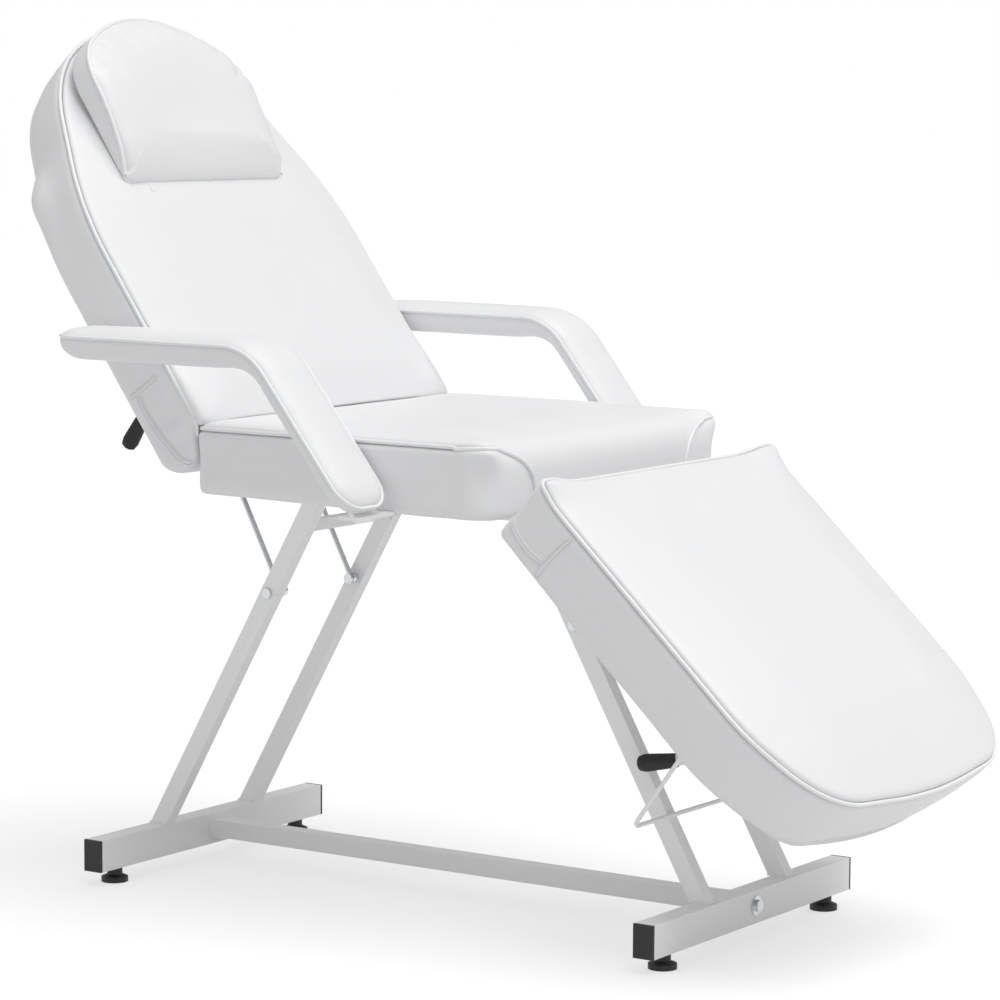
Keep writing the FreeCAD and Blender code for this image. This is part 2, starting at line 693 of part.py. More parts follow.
def make_cushion(label, outline, start, floor, crown, nose, rim, placement):
    """Padded section: drawn-in band, a groove for the piping and a crown, over a recess for the board."""
    band = val("band_height")
    walls = []
    for lift_share, undercut_share, hollow_share, nose_share, rim_share in band_shares:
        inset = val("band_undercut_depth") * undercut_share + val("band_hollow_depth") * hollow_share
        corners = inset_corners(outline(start - nose * nose_share + rim * rim_share), inset)
        walls.append(outline_wire(corners, floor + band * lift_share))
    solid = Part.makeLoft(walls, True, False)
    neck = inset_corners(outline(start + rim), val("neck_inset"))
    neck_top = floor + band + val("neck_height")
    solid = solid.fuse(prism(neck, floor + band, neck_top))
    crown_run = val("crown_run_length")
    layers = [outline_wire(drawn_in_corners(neck, crown_run * run_share), neck_top + crown * rise_share)
              for rise_share, run_share in crown_shares]
    solid = solid.fuse(Part.makeLoft(layers, True, False)).removeSplitter()
    clearance = val("board_clearance")
    recess = inset_corners(outline(start), val("board_inset") - clearance)
    solid = solid.cut(prism(recess, floor - clearance, floor + val("board_thickness") + clearance))
    make_feature(label + "_cushion", solid, placement)
    board = inset_corners(outline(start), val("board_inset"))
    make_feature(label + "_board", prism(board, floor, floor + val("board_thickness")), placement)


def make_round_piping(label, corners, height, radius, placement):
    """Closed round cord along an outline."""
    path = outline_wire(corners, height)
    begin = path.Edges[0].valueAt(path.Edges[0].FirstParameter)
    along = path.Edges[0].tangentAt(path.Edges[0].FirstParameter)
    ring = Part.Wire(Part.Circle(begin, along, radius).toShape())
    return make_feature(label, path.makePipeShell([ring], True, True), placement)


piping_lift = val("band_height + piping_clearance + piping_radius")
piping_inset = val("neck_inset - piping_clearance - piping_radius")
back_floor = -val("back_hinge_height")
back_rim = val("back_rim_setback")
make_cushion("seat", seat_outline, val("seat_start"), 0.0, val("seat_crown_height"), 0.0, 0.0, seat_frame)
make_cushion("backrest", back_outline, val("back_setback"), back_floor, val("crown_height"),
             val("back_nose_depth"), back_rim, back_frame)
make_cushion("legrest", rest_outline, val("rest_setback"), 0.0, val("crown_height"), 0.0, 0.0, rest_frame)
make_round_piping("seat_piping", inset_corners(seat_outline(val("seat_start")), piping_inset),
                  piping_lift, val("piping_radius"), seat_frame)
back_cord = inset_corners(back_outline(val("back_setback") + back_rim), piping_inset)
make_round_piping("backrest_piping", back_cord, back_floor + piping_lift, val("piping_radius"), back_frame)
make_round_piping("legrest_piping", inset_corners(rest_outline(val("rest_setback")), piping_inset),
                  piping_lift, val("piping_radius"), rest_frame)

# Head pillow: a flat-backed D that follows the head's outline, piped along its top edge
pillow_floor = back_floor + val("band_height + neck_height + crown_height + pillow_clearance")
pillow_low = val("back_setback + pillow_start")
pillow_layers = []
for lift_share, corner_share in pillow_shares:
    layer = inset_corners(pillow_outline(pillow_low), val("pillow_corner") * corner_share)
    pillow_layers.append(outline_wire(layer, pillow_floor + val("pillow_thickness") * lift_share))
make_feature("head_pillow", Part.makeLoft(pillow_layers, True, False), back_frame)


# Armrests: a padded, bent arm, its piping and the steel bracket that carries it from under the seat
def arm_section(lift, shorten):
    """Side profile of the pad in X and Z, its top raised by the crown and its ends drawn in."""
    slope = math.radians(val("arm_slope_angle"))
    down = Vector(math.cos(slope), 0, -math.sin(slope))
    out = Vector(math.sin(slope), 0, math.cos(slope))
    rear = head_x + val("arm_rear_distance") + shorten
    bend = Vector(head_x + val("arm_bend_distance"), 0, val("arm_top_height"))
    run = val("arm_top_height - seat_bottom - arm_low_rise") / math.sin(slope)
    low_end = bend + down * (run - shorten)
    thick = val("arm_thickness")
    thin = val("arm_low_thickness")
    top = [Vector(rear, 0, bend.z), bend, low_end]
    inner_bend_x = bend.x + (thin - thick * math.cos(slope)) / -math.sin(slope)
    under = [low_end - out * thin, Vector(inner_bend_x, 0, bend.z - thick),
             Vector(rear + val("arm_thickness"), 0, bend.z - thick), Vector(rear, 0, bend.z - thick / 2)]
    raised = [top[0] + Vector(0, 0, lift), top[1] + (Vector(0, 0, 1) + out).normalize() * lift,
              top[2] + out * lift]
    points = raised + under
    reach = val("arm_bend_radius")
    edges = []
    before = points[1] + (points[0] - points[1]).normalize() * reach
    after = points[1] + (points[2] - points[1]).normalize() * reach
    turn_half = (before - points[1]).getAngle(after - points[1]) / 2
    round_radius = reach * math.tan(turn_half)
    towards = ((before - points[1]) + (after - points[1])).normalize()
    crest = points[1] + towards * (round_radius / math.sin(turn_half) - round_radius)
    edges.append(Part.LineSegment(points[0], before).toShape())
    edges.append(Part.Arc(before, crest, after).toShape())
    edges.append(Part.LineSegment(after, points[2]).toShape())
    for index in range(2, len(points)):
        edges.append(Part.LineSegment(points[index], points[(index + 1) % len(points)]).toShape())
    return Part.Wire(edges), (points[0], before, crest, after, points[2]), (down, out, low_end)


# Levels across the arm: shares of its width, of the crown and of the round-off at its ends
arm_shares = ((0.0, 0.0, 1.0), (0.18, 0.55, 0.35), (0.5, 1.0, 0.0), (0.82, 0.55, 0.35), (1.0, 0.0, 1.0))


def make_armrest(side_name, side):
    sections = []
    for across_share, lift_share, round_share in arm_shares:
        lift, rounding = val("arm_crown_height") * lift_share, val("arm_end_round_length") * round_share
        wire, _, _ = arm_section(lift, rounding)
        wire.translate(Vector(0, side * (val("arm_inner_distance") + val("arm_width") * across_share), 0))
        sections.append(wire)
    pad_shape = Part.makeLoft(sections, True, False)
    make_feature("armrest_pad_" + side_name, pad_shape, world_frame)
    cords = []
    cord_radius = val("arm_piping_radius")
    outer = val("arm_inner_distance + arm_width")
    for place, shift in ((val("arm_inner_distance"), -1), (outer, 1)):
        _, line, frame = arm_section(0.0, val("arm_end_round_length"))
        level = Vector(0, side * (place + shift * (cord_radius + val("contact_gap"))), -cord_radius)
        rear, before, crest, after, low = [point + level for point in line]
        path = Part.Wire([Part.LineSegment(rear, before).toShape(), Part.Arc(before, crest, after).toShape(),
                          Part.LineSegment(after, low).toShape()])
        ring = Part.Wire(Part.Circle(rear, before - rear, cord_radius).toShape())
        cords.append(path.makePipeShell([ring], True, True))
    make_feature("armrest_piping_" + side_name, Part.Compound(cords), world_frame)


# How far up the pad's lower run the bracket's plate reaches, as a share of the pad's rise over the seat.
plate_reach_share = 0.55


def make_arm_bracket(side_name, side):
    """A flat bar out from the seat rail and a plate up the back of the arm's lower run."""
    _, _, (down, out, low_end) = arm_section(0.0, 0.0)
    plate = val("arm_plate_thickness")
    width = val("arm_plate_width")
    bar_bottom = val("seat_bottom - contact_gap") - plate
    behind = low_end - out * val("arm_low_thickness")
    foot = behind + down * ((behind.z - bar_bottom) / -down.z)
    crest = foot - down * val("arm_top_height - seat_bottom") * plate_reach_share
    strip = Part.Face(Part.makePolygon([foot, crest, crest - out * plate, foot - out * plate, foot]))
    middle = side * val("arm_inner_distance + arm_width / 2")
    strip.translate(Vector(0, middle - width / 2, 0))
    upright = strip.extrude(Vector(0, width, 0))
    bar_width = val("arm_bar_width")
    inner = val("rail_outer")
    length = abs(middle) + width / 2 - inner
    origin = Vector(foot.x - bar_width, inner if side > 0 else -inner - length, bar_bottom)
    bar = Part.makeBox(bar_width, length, plate, origin)
    make_feature("armrest_bracket_" + side_name, bar.fuse(upright).removeSplitter(), world_frame)


for side_name, side in (("left", 1), ("right", -1)):
    make_armrest(side_name, side)
    make_arm_bracket(side_name, side)


# Struts: a round rod with an eye at each end, pinned to the leg below and to the carriage above
def make_strut(label, pivot, target, side):
    length = (target - pivot).Length
    add_size(label + "_length", length)
    doc.recompute()
    body = new_body(label)
    far = label + "_length"
    eyes = [circle("0", "0", "strut_eye_radius"), circle(far, "0", "strut_eye_radius")]
    for eye in eyes:
        pad(body, sketch(body, "XZ_Plane", [eye]), "strut_eye_thickness", midplane=True)
    rod = sketch(body, "YZ_Plane", [circle("0", "0", "strut_radius")], "strut_eye_radius - strut_radius / 2")
    pad(body, rod, far + " - 2 * strut_eye_radius + strut_radius")
    holes = [circle(x, "0", "pivot_radius + bolt_clearance") for x in ("0", far)]
    pocket(body, sketch(body, "XZ_Plane", holes), "2 * strut_eye_thickness")
    along = (target - pivot).normalize()
    rotation = turn(along, (0, 1, 0), (-along.z, 0, along.x))
    place = FreeCAD.Placement(Vector(pivot.x, side * val("strut_spread"), pivot.z), rotation)
    return finish(body, label, place)


back_eye = back_frame.multVec(Vector(val("back_eye_run"), 0, -val("back_hinge_height + carriage_drop")))
rest_eye = rest_frame.multVec(Vector(val("rest_eye_run"), 0, -val("carriage_drop")))
for side_name, side in (("left", 1), ("right", -1)):
    make_strut("backrest_strut_" + side_name, head_pivot, back_eye, side)
    make_strut("legrest_strut_" + side_name, foot_pivot, rest_eye, side)


# Carriages: one weldment each, with cheeks round the strut eyes, blocks under the rails and a shaft
def make_carriage(label, eye_run, lever_run, drop, lever_side, frame):
    """In the section's frame. lever_side is the local Y side that the release lever stands on."""
    body = new_body(label)
    axis_drop = "-(%s + carriage_drop)" % drop
    low = "(%s) - cheek_height / 2" % axis_drop
    high = "(%s) + cheek_height / 2 - carriage_gap" % axis_drop
    cheek = [("%s - strut_eye_radius" % eye_run, low), ("%s + carriage_shaft_radius" % lever_run, low),
             ("%s + carriage_shaft_radius" % lever_run, high), ("%s - strut_eye_radius" % eye_run, high)]
    block_top = "-(%s + rail_height + carriage_gap)" % drop
    block_low = "%s - carriage_height" % block_top
    block = [(cheek[0][0], block_low), (cheek[1][0], block_low),
             (cheek[1][0], block_top), (cheek[0][0], block_top)]
    inner = "strut_spread - strut_eye_thickness / 2 - cheek_gap"
    outer = "strut_spread + strut_eye_thickness / 2 + cheek_gap"
    for hand in ("", "-"):
        # The sketches' normal points to -Y, so a positive lift stands on the -Y side
        if hand:
            inner_lift, outer_lift = "-(%s)" % inner, "-(%s + cheek_thickness)" % outer
            block_lift = "-(%s + carriage_overlap)" % outer
        else:
            inner_lift, outer_lift = "%s - cheek_thickness" % inner, outer
            block_lift = outer
        pad(body, sketch(body, "XZ_Plane", [cheek], inner_lift), "cheek_thickness")
        pad(body, sketch(body, "XZ_Plane", [cheek], outer_lift), "cheek_thickness")
        pad(body, sketch(body, "XZ_Plane", [block], block_lift), "carriage_overlap")
    collar = "(lever_spread - lever_thickness / 2 - contact_gap - collar_width)"
    cap = "(lever_spread + lever_thickness / 2 + contact_gap)"
    short = "(%s + cheek_thickness)" % outer
    # The shaft, the collar inside the lever and the cap outside it, as near face, length and radius
    turned = [("-%s" % short, "%s + %s" % (short, cap), "carriage_shaft_radius"),
              (collar, "collar_width", "carriage_shaft_radius + collar_step"),
              (cap, "collar_width / 2", "carriage_shaft_radius + collar_step")]
    for near, length, radius in turned:
        lift = "-(%s + %s)" % (near, length) if lever_side > 0 else near
        pad(body, sketch(body, "XZ_Plane", [circle(lever_run, axis_drop, radius)], lift), length)
    return finish(body, label, frame)


# The levers stand on the sitter's right: local +Y on the backrest and local -Y on the leg rest
make_carriage("backrest_carriage", "back_eye_run", "back_lever_run", "back_hinge_height", 1, back_frame)
make_carriage("legrest_carriage", "rest_eye_run", "rest_lever_run", "0", -1, rest_frame)


# Release levers: a flat bar with a hub on the carriage shaft, and a tapered grip on its end
def make_lever(section, run, drop, lever_turn, local_side, frame):
    body = new_body(section + "_lever")
    hub = sketch(body, "XZ_Plane", [circle("0", "0", "lever_hub_radius")])
    pad(body, hub, "lever_thickness", midplane=True)
    bar = [("0", "-lever_width / 2"), ("lever_length", "-lever_width / 2"),
           ("lever_length", "lever_width / 2"),
           ("0", "lever_width / 2")]
    pad(body, sketch(body, "XZ_Plane", [bar]), "lever_thickness", midplane=True)
    tang = [(x, "(%s) / 2" % y) for x, y in (("lever_length", "-lever_width / 2"),
            ("lever_length + grip_length / 2", "-lever_width / 2"),
            ("lever_length + grip_length / 2", "lever_width / 2"), ("lever_length", "lever_width / 2"))]
    pad(body, sketch(body, "XZ_Plane", [tang]), "lever_thickness", midplane=True)
    hole = circle("0", "0", "carriage_shaft_radius + bolt_clearance")
    pocket(body, sketch(body, "XZ_Plane", [hole]), "2 * lever_thickness")
    angle = math.radians(val(lever_turn))
    rotation = turn((math.cos(angle), 0, math.sin(angle)), (0, 1, 0), (-math.sin(angle), 0, math.cos(angle)))
    place = local_place(frame, val(run), local_side * val("lever_spread"), -val("%s + carriage_drop" % drop),
                        rotation)
    finish(body, section + "_lever", place)
    grip = new_body(section + "_grip")
    revolve(grip, sketch(grip, "XZ_Plane", [[("0", "0"), ("grip_root_radius", "0"),
            ("grip_radius", "grip_length * 0.8"), ("grip_radius * 0.85", "grip_length * 0.95"),
            ("grip_radius * 0.5", "grip_length"), ("0", "grip_length")]]))
    slot = rectangle("lever_thickness + 2 * bolt_clearance", "lever_width / 2 + 2 * bolt_clearance")
    pocket(grip, sketch(grip, "XY_Plane", [[(y, x) for x, y in slot]]), "grip_length + 4 * bolt_clearance")
    upright = place.multiply(FreeCAD.Placement(Vector(val("lever_length + bolt_clearance"), 0, 0),
                             FreeCAD.Rotation(Vector(0, 1, 0), 90)))
    finish(grip, section + "_lever_grip", upright)


make_lever("backrest", "back_lever_run", "back_hinge_height", "back_lever_angle", 1, back_frame)
make_lever("legrest", "rest_lever_run", "0", "rest_lever_angle", -1, rest_frame)


# Stop bail: a bent wire under the leg rest whose cross part meets the foot legs' front faces
def make_stop_bail():
    lean = Vector(-val("leg_lean_distance"), 0, val("leg_rise")).normalize()
    outward = Vector(lean.z, 0, -lean.x)
    edge_x = foot_edge - val("(bail_contact_height - beam_top) * leg_lean_distance / leg_rise")
    touch = Vector(edge_x, 0, val("bail_contact_height"))
    wire_radius = val("bail_wire_radius")
    cross = rest_frame.inverse().multVec(touch + outward * (wire_radius + val("contact_gap")))
    root = Vector(val("bail_root_run"), 0, -val("bail_plate_thickness"))
    spread = val("bail_spread")
    corner = val("bail_corner")
    down = (cross - root).normalize()
    lower = cross - down * corner
    bend = corner * (1 - math.sqrt(0.5))
    left = Vector(0, spread, 0)
    inset = Vector(0, spread - corner, 0)
    mid = cross - down * bend + Vector(0, spread - bend, 0)
    flip = Vector(mid.x, -mid.y, mid.z)
    path = Part.Wire([Part.LineSegment(root + left, lower + left).toShape(),
                      Part.Arc(lower + left, mid, cross + inset).toShape(),
                      Part.LineSegment(cross + inset, cross - inset).toShape(),
                      Part.Arc(cross - inset, flip, lower - left).toShape(),
                      Part.LineSegment(lower - left, root - left).toShape()])
    ring = Part.Wire(Part.Circle(root + left, down, wire_radius).toShape())
    bail = path.makePipeShell([ring], True, True)
    for side in (1, -1):
        base = Vector(root.x, side * spread, -val("bail_plate_thickness"))
        bail = bail.fuse(Part.makeCylinder(val("bail_plate_radius"), val("bail_plate_thickness"), base))
    make_feature("legrest_stop_bail", bail.removeSplitter(), rest_frame)


make_stop_bail()
doc.recompute()

problems = [obj.Label for obj in doc.Objects if "Invalid" in obj.State or "Error" in obj.State]
problems += [obj.Label for obj in finished if obj.Shape.isNull() or not obj.Shape.isValid()]
if problems:
    raise RuntimeError("Not built: " + ", ".join(problems))
labels = [obj.Label for obj in finished]
if len(set(labels)) != len(labels):
    raise RuntimeError("Two sub-parts share a name")
os.makedirs("parts", exist_ok=True)
whole = Part.Compound([obj.Shape for obj in finished])
print("Sub-parts:", len(finished))
print("Overall:", [round(number, 1) for number in (whole.BoundBox.XMin, whole.BoundBox.XMax,
      whole.BoundBox.YMin, whole.BoundBox.YMax, whole.BoundBox.ZMin, whole.BoundBox.ZMax)])
for obj in finished:
    obj.Shape.exportStep("parts/%s.step" % obj.Label)
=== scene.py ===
import math

import bmesh
import bpy
import numpy as np
from mathutils import Matrix, Vector, noise
from mathutils.bvhtree import BVHTree


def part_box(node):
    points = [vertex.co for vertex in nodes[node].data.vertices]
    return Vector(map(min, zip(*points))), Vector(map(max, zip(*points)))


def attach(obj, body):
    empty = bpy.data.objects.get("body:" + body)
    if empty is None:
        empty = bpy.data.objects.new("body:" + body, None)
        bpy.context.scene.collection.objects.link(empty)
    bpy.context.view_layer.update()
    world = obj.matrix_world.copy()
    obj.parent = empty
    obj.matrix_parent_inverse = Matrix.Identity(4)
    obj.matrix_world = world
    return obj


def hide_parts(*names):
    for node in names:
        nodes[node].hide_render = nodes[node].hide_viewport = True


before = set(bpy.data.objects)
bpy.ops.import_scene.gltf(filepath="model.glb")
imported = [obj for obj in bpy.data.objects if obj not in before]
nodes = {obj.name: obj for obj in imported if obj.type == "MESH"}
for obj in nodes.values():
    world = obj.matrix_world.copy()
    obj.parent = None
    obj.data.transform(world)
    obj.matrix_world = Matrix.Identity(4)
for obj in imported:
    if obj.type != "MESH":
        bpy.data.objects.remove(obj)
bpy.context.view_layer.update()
scene = bpy.context.scene


# The room: a white sweep, a large soft lamp high over the foot end and pale air all round, so that
# the faces turned up to the lamp are bright and the sides go light grey, as in the photograph.
class Wire:
    """One output socket of a node tree. Sums written on it add Math nodes."""

    def __init__(self, bench, socket):
        self.bench, self.socket = bench, socket

    def other(self, name):
        """Another output of the same node."""
        return Wire(self.bench, self.socket.node.outputs[name])

    def sum(self, operation, first, second):
        return self.bench.add("ShaderNodeMath", {"operation": operation}, {0: first, 1: second})

    def __add__(self, other):
        return self.sum("ADD", self, other)

    def __radd__(self, other):
        return self.sum("ADD", other, self)

    def __mul__(self, other):
        return self.sum("MULTIPLY", self, other)

    def __rmul__(self, other):
        return self.sum("MULTIPLY", other, self)


class Bench:
    """A node tree being put together: a finish, or a tool that makes repeated parts."""

    def __init__(self, tree):
        self.tree = tree

    def add(self, kind, settings=None, sockets=None, out=0):
        """A node with its settings made first, then values or wires on its sockets; gives one output."""
        node = self.tree.nodes.new(kind)
        for name, value in (settings or {}).items():
            setattr(node, name, value)
        for name, value in (sockets or {}).items():
            if isinstance(value, Wire):
                self.tree.links.new(value.socket, node.inputs[name])
            else:
                node.inputs[name].default_value = value
        return Wire(self, node.outputs[out]) if node.outputs else node

    def blend(self, share, first, second):
        """A colour between two colours."""
        return self.add("ShaderNodeMix", {"data_type": "RGBA"},
                        {0: share, 6: shade(first), 7: shade(second)}, out=2)

    def patches(self, scale, detail=3.0, rough=0.5, across=None):
        """Smooth random patches, scale of them to the metre."""
        return self.add("ShaderNodeTexNoise", {}, {"Vector": across or self.place(), "Scale": scale,
                                                    "Detail": detail, "Roughness": rough})

    def place(self, stretch=(1, 1, 1)):
        spot = self.add("ShaderNodeTexCoord", out=3)
        return self.add("ShaderNodeMapping", {}, {"Vector": spot, "Scale": stretch})

    def relief(self, strength, distance, height, over=None):
        """Fine relief in a surface, over another relief or none."""
        sockets = {"Strength": strength, "Distance": distance, "Height": height}
        return self.add("ShaderNodeBump", {}, dict(sockets, Normal=over) if over else sockets)


def shade(value):
    return value if isinstance(value, Wire) else (*value, 1)


def emptied(data):
    """The bench of a finish or of the air, with nothing on it yet."""
    data.use_nodes = True
    data.node_tree.nodes.clear()
    return Bench(data.node_tree)


def finish_of(name, shader_inputs, make):
    """A finish: the constants on its shader, and what make(bench) feeds to the rest of the sockets."""
    finish = bpy.data.materials.new(name)
    bench = emptied(finish)
    surface = bench.add("ShaderNodeBsdfPrincipled", {}, dict(shader_inputs, **make(bench)))
    bench.add("ShaderNodeOutputMaterial", {}, {"Surface": surface})
    return finish


def floor_finish():
    """White paper that looks evenly lit to the camera and in reflections, and greyer to the chair."""
    finish = bpy.data.materials.new("white_sweep")
    bench = emptied(finish)
    in_view = bench.add("ShaderNodeLightPath")
    seen = in_view.sum("MAXIMUM", in_view, in_view.other("Is Glossy Ray"))
    seen = seen.sum("MAXIMUM", seen, in_view.other("Is Transmission Ray"))
    tone = bench.blend(seen, (0.74, 0.74, 0.742), (0.45, 0.45, 0.452))
    paper = bench.add("ShaderNodeBsdfDiffuse", {}, {"Color": tone})
    glow = bench.add("ShaderNodeEmission", {}, {"Color": (1, 1, 1, 1), "Strength": seen * 0.59})
    both = bench.add("ShaderNodeAddShader", {}, {0: paper, 1: glow})
    bench.add("ShaderNodeOutputMaterial", {}, {"Surface": both})
    return finish


floor_half, floor_level = 14.0, -0.0005
floor_mesh = bpy.data.meshes.new("floor")
floor_mesh.from_pydata([(x * floor_half, y * floor_half, floor_level)
                        for x, y in ((-1, -1), (1, -1), (1, 1), (-1, 1))], [], [(0, 1, 2, 3)])
floor_mesh.materials.append(floor_finish())
floor = bpy.data.objects.new("floor", floor_mesh)
scene.collection.objects.link(floor)

air = bpy.data.worlds.new("pale_air")
air_bench = emptied(air)
air_light = air_bench.add("ShaderNodeBackground", {}, {"Color": (0.985, 0.99, 1.0, 1), "Strength": 0.515})
air_seen = air_bench.add("ShaderNodeBackground", {}, {"Color": (1, 1, 1, 1), "Strength": 1.0})
air_bench.add("ShaderNodeOutputWorld", {}, {"Surface": air_bench.add(
    "ShaderNodeMixShader", {}, {0: air_bench.add("ShaderNodeLightPath"), 1: air_light, 2: air_seen})})
scene.world = air

lamp = bpy.data.lights.new("foot_end_softbox", "SUN")
lamp.energy, lamp.angle = 1.88, math.radians(50)
holder = bpy.data.objects.new("foot_end_softbox", lamp)
holder.rotation_euler = Vector((-0.35, -0.04, -0.94)).to_track_quat("-Z", "Y").to_euler()
scene.collection.objects.link(holder)

camera = bpy.data.cameras.new("photographer")
camera.sensor_fit, camera.sensor_width, camera.lens = "HORIZONTAL", 36.0, 138.91
camera.clip_start, camera.clip_end = 0.1, 60.0
eye = bpy.data.objects.new("photographer", camera)
eye.matrix_world = Matrix(((0.83102327, -0.06970937, 0.55185227, 2.963793),
                           (0.55619666, 0.09209468, -0.82593211, -4.383137),
                           (0.00675255, 0.99330719, 0.11530494, 1.171831),
                           (0, 0, 0, 1)))
scene.collection.objects.link(eye)
scene.camera = eye
scene.view_settings.view_transform = "Standard"


# Welded base and the rails under the sections: rectangular and square steel tube, mitred and
# welded, then powder coated white in one go, with the fine orange peel that the coat leaves.
def powder_coat(bench):
    return {"Base Color": bench.blend(bench.patches(6, 2.0), (0.94, 0.94, 0.943), (0.965, 0.965, 0.967)),
            "Roughness": 0.30 + 0.10 * bench.patches(24, 3.0),
            "Normal": bench.relief(0.10, 0.0006, bench.patches(620, 2.0, 0.45))}


white_coat = finish_of("white_powder_coat", {"Metallic": 0.0, "Coat Weight": 0.15, "Coat Roughness": 0.2},
                       powder_coat)
coated = ["legrest_stop_bail", "head_base_beam", "foot_base_beam", "base_spine", "head_leg_crossbar",
          "foot_leg_crossbar", "backrest_carriage", "legrest_carriage", "backrest_lever", "legrest_lever"]
for side in ("left", "right"):
    coated += [name + side for name in ("head_leg_", "foot_leg_", "seat_rail_", "backrest_rail_",
                                        "legrest_rail_", "armrest_bracket_")]


def dress(names, finish):
    for name in names:
        slots = nodes[name].data.materials
        slots.clear()
        slots.append(finish)


dress(coated, white_coat)


# Bright hardware: zinc plated and polished steel bolts and the strut rods that prop the sections.
# They are turned on a lathe or drawn, so the shine has fine lines.
def bright_plate(bench):
    haze = bench.patches(40, 3.0)
    return {"Base Color": bench.blend(haze, (0.62, 0.63, 0.65), (0.74, 0.75, 0.76)),
            "Roughness": 0.16 + 0.16 * haze,
            "Normal": bench.relief(0.12, 0.0002, bench.patches(900, 1.0, 0.4, bench.place((1, 1, 0.06))))}


bright_steel = finish_of("bright_steel", {"Metallic": 1.0}, bright_plate)
bright = ["spine_bolt_head_end", "spine_bolt_foot_end"]
for side in ("left", "right"):
    bright += [name + side for name in ("head_pivot_bolt_", "foot_pivot_bolt_", "backrest_hinge_bolt_",
                                        "legrest_hinge_bolt_", "backrest_strut_", "legrest_strut_")]
dress(bright, bright_steel)


# Plugs and levelling feet: moulded black plastic with a fine spark-eroded grain, pushed into the
# beam ends or screwed up into them. The lever grips are dipped black rubber, duller and softer.
def moulded_black(bench):
    return {"Base Color": bench.blend(bench.patches(30), (0.010, 0.010, 0.011), (0.022, 0.022, 0.023)),
            "Roughness": 0.38 + 0.18 * bench.patches(70, 3.0),
            "Normal": bench.relief(0.25, 0.0004, bench.patches(1500, 2.0, 0.6))}


def dipped_rubber(bench):
    return {"Base Color": bench.blend(bench.patches(45), (0.008, 0.008, 0.009), (0.020, 0.020, 0.021)),
            "Roughness": 0.50 + 0.22 * bench.patches(90, 3.0),
            "Normal": bench.relief(0.3, 0.0006, bench.patches(320, 4.0, 0.6))}


black_plastic = finish_of("moulded_black_plastic", {"Metallic": 0.0}, moulded_black)
black_rubber = finish_of("dipped_black_rubber", {"Metallic": 0.0}, dipped_rubber)
dress([end + part + side for end in ("head_", "foot_") for side in ("left", "right")
       for part in ("beam_plug_", "levelling_foot_")], black_plastic)
dress(["backrest_lever_grip", "legrest_lever_grip"], black_rubber)


# Boards: 12 mm plywood cut to each section's outline and drilled for the rails, with a white
# non-woven cloth glued over the face that can be seen from below.
def backing_cloth(bench):
    fibres = bench.patches(260, 5.0, 0.7, bench.place((1, 3, 1)))
    pressed = bench.add("ShaderNodeTexVoronoi", {"feature": "F1"},
                        {"Vector": bench.place(), "Scale": 420.0, "Randomness": 0.35})
    return {"Base Color": bench.blend(fibres, (0.74, 0.735, 0.72), (0.86, 0.857, 0.845)),
            "Roughness": 0.80 + 0.12 * fibres,
            "Normal": bench.relief(0.35, 0.0005, fibres * 0.6 + pressed * 0.4)}


backed_board = finish_of("white_backing_cloth", {"Metallic": 0.0}, backing_cloth)
dress(["seat_board", "backrest_board", "legrest_board"], backed_board)


# Seat: a foam block on its board under white vinyl leather. A boxing band is sewn to the top panel
# over a welt at the sides and the rear; the top panel itself runs down over the front edge.
def vinyl_leather(bench):
    cells = bench.add("ShaderNodeTexVoronoi", {"feature": "DISTANCE_TO_EDGE"},
                      {"Vector": bench.place(), "Scale": 780.0, "Randomness": 1.0})
    creases = bench.add("ShaderNodeMapRange", {}, {"Value": cells, "From Min": 0.0, "From Max": 0.18})
    fine = bench.patches(1900, 2.0, 0.6)
    grain = bench.relief(0.16, 0.0004, creases * 0.7 + fine * 0.3)
    soft = bench.relief(0.20, 0.006, bench.patches(9, 3.0, 0.55), grain)
    tone = bench.blend(bench.patches(3.5, 3.0), (0.815, 0.817, 0.824), (0.845, 0.845, 0.848))
    return {"Base Color": tone, "Roughness": 0.36 + 0.12 * bench.patches(14, 3.0) + 0.05 * fine,
            "Normal": soft}


white_vinyl = finish_of("white_vinyl_leather", {"Metallic": 0.0, "Coat Weight": 0.08,
                                                "Coat Roughness": 0.35}, vinyl_leather)
mm = 0.001


def corner_at(corners, index):
    """A corner's point, the directions to its neighbours and to its inside, and half its angle."""
    here, before, after = (Vector(corners[at % len(corners)][:2]) for at in (index, index - 1, index + 1))
    to_before, to_after = (before - here).normalized(), (after - here).normalized()
    return here, to_before, to_after, (to_before + to_after).normalized(), to_before.angle(to_after) / 2


def trim(corners, inset):
    """The outline's corners moved in by inset, their rounding made smaller to match."""
    trimmed = []
    for index, (_, _, radius) in enumerate(corners):
        here, _, _, inward, half = corner_at(corners, index)
        spot = here + inward * (inset / math.sin(half))
        trimmed.append((spot.x, spot.y, max(radius - inset, 1.0)))
    return trimmed


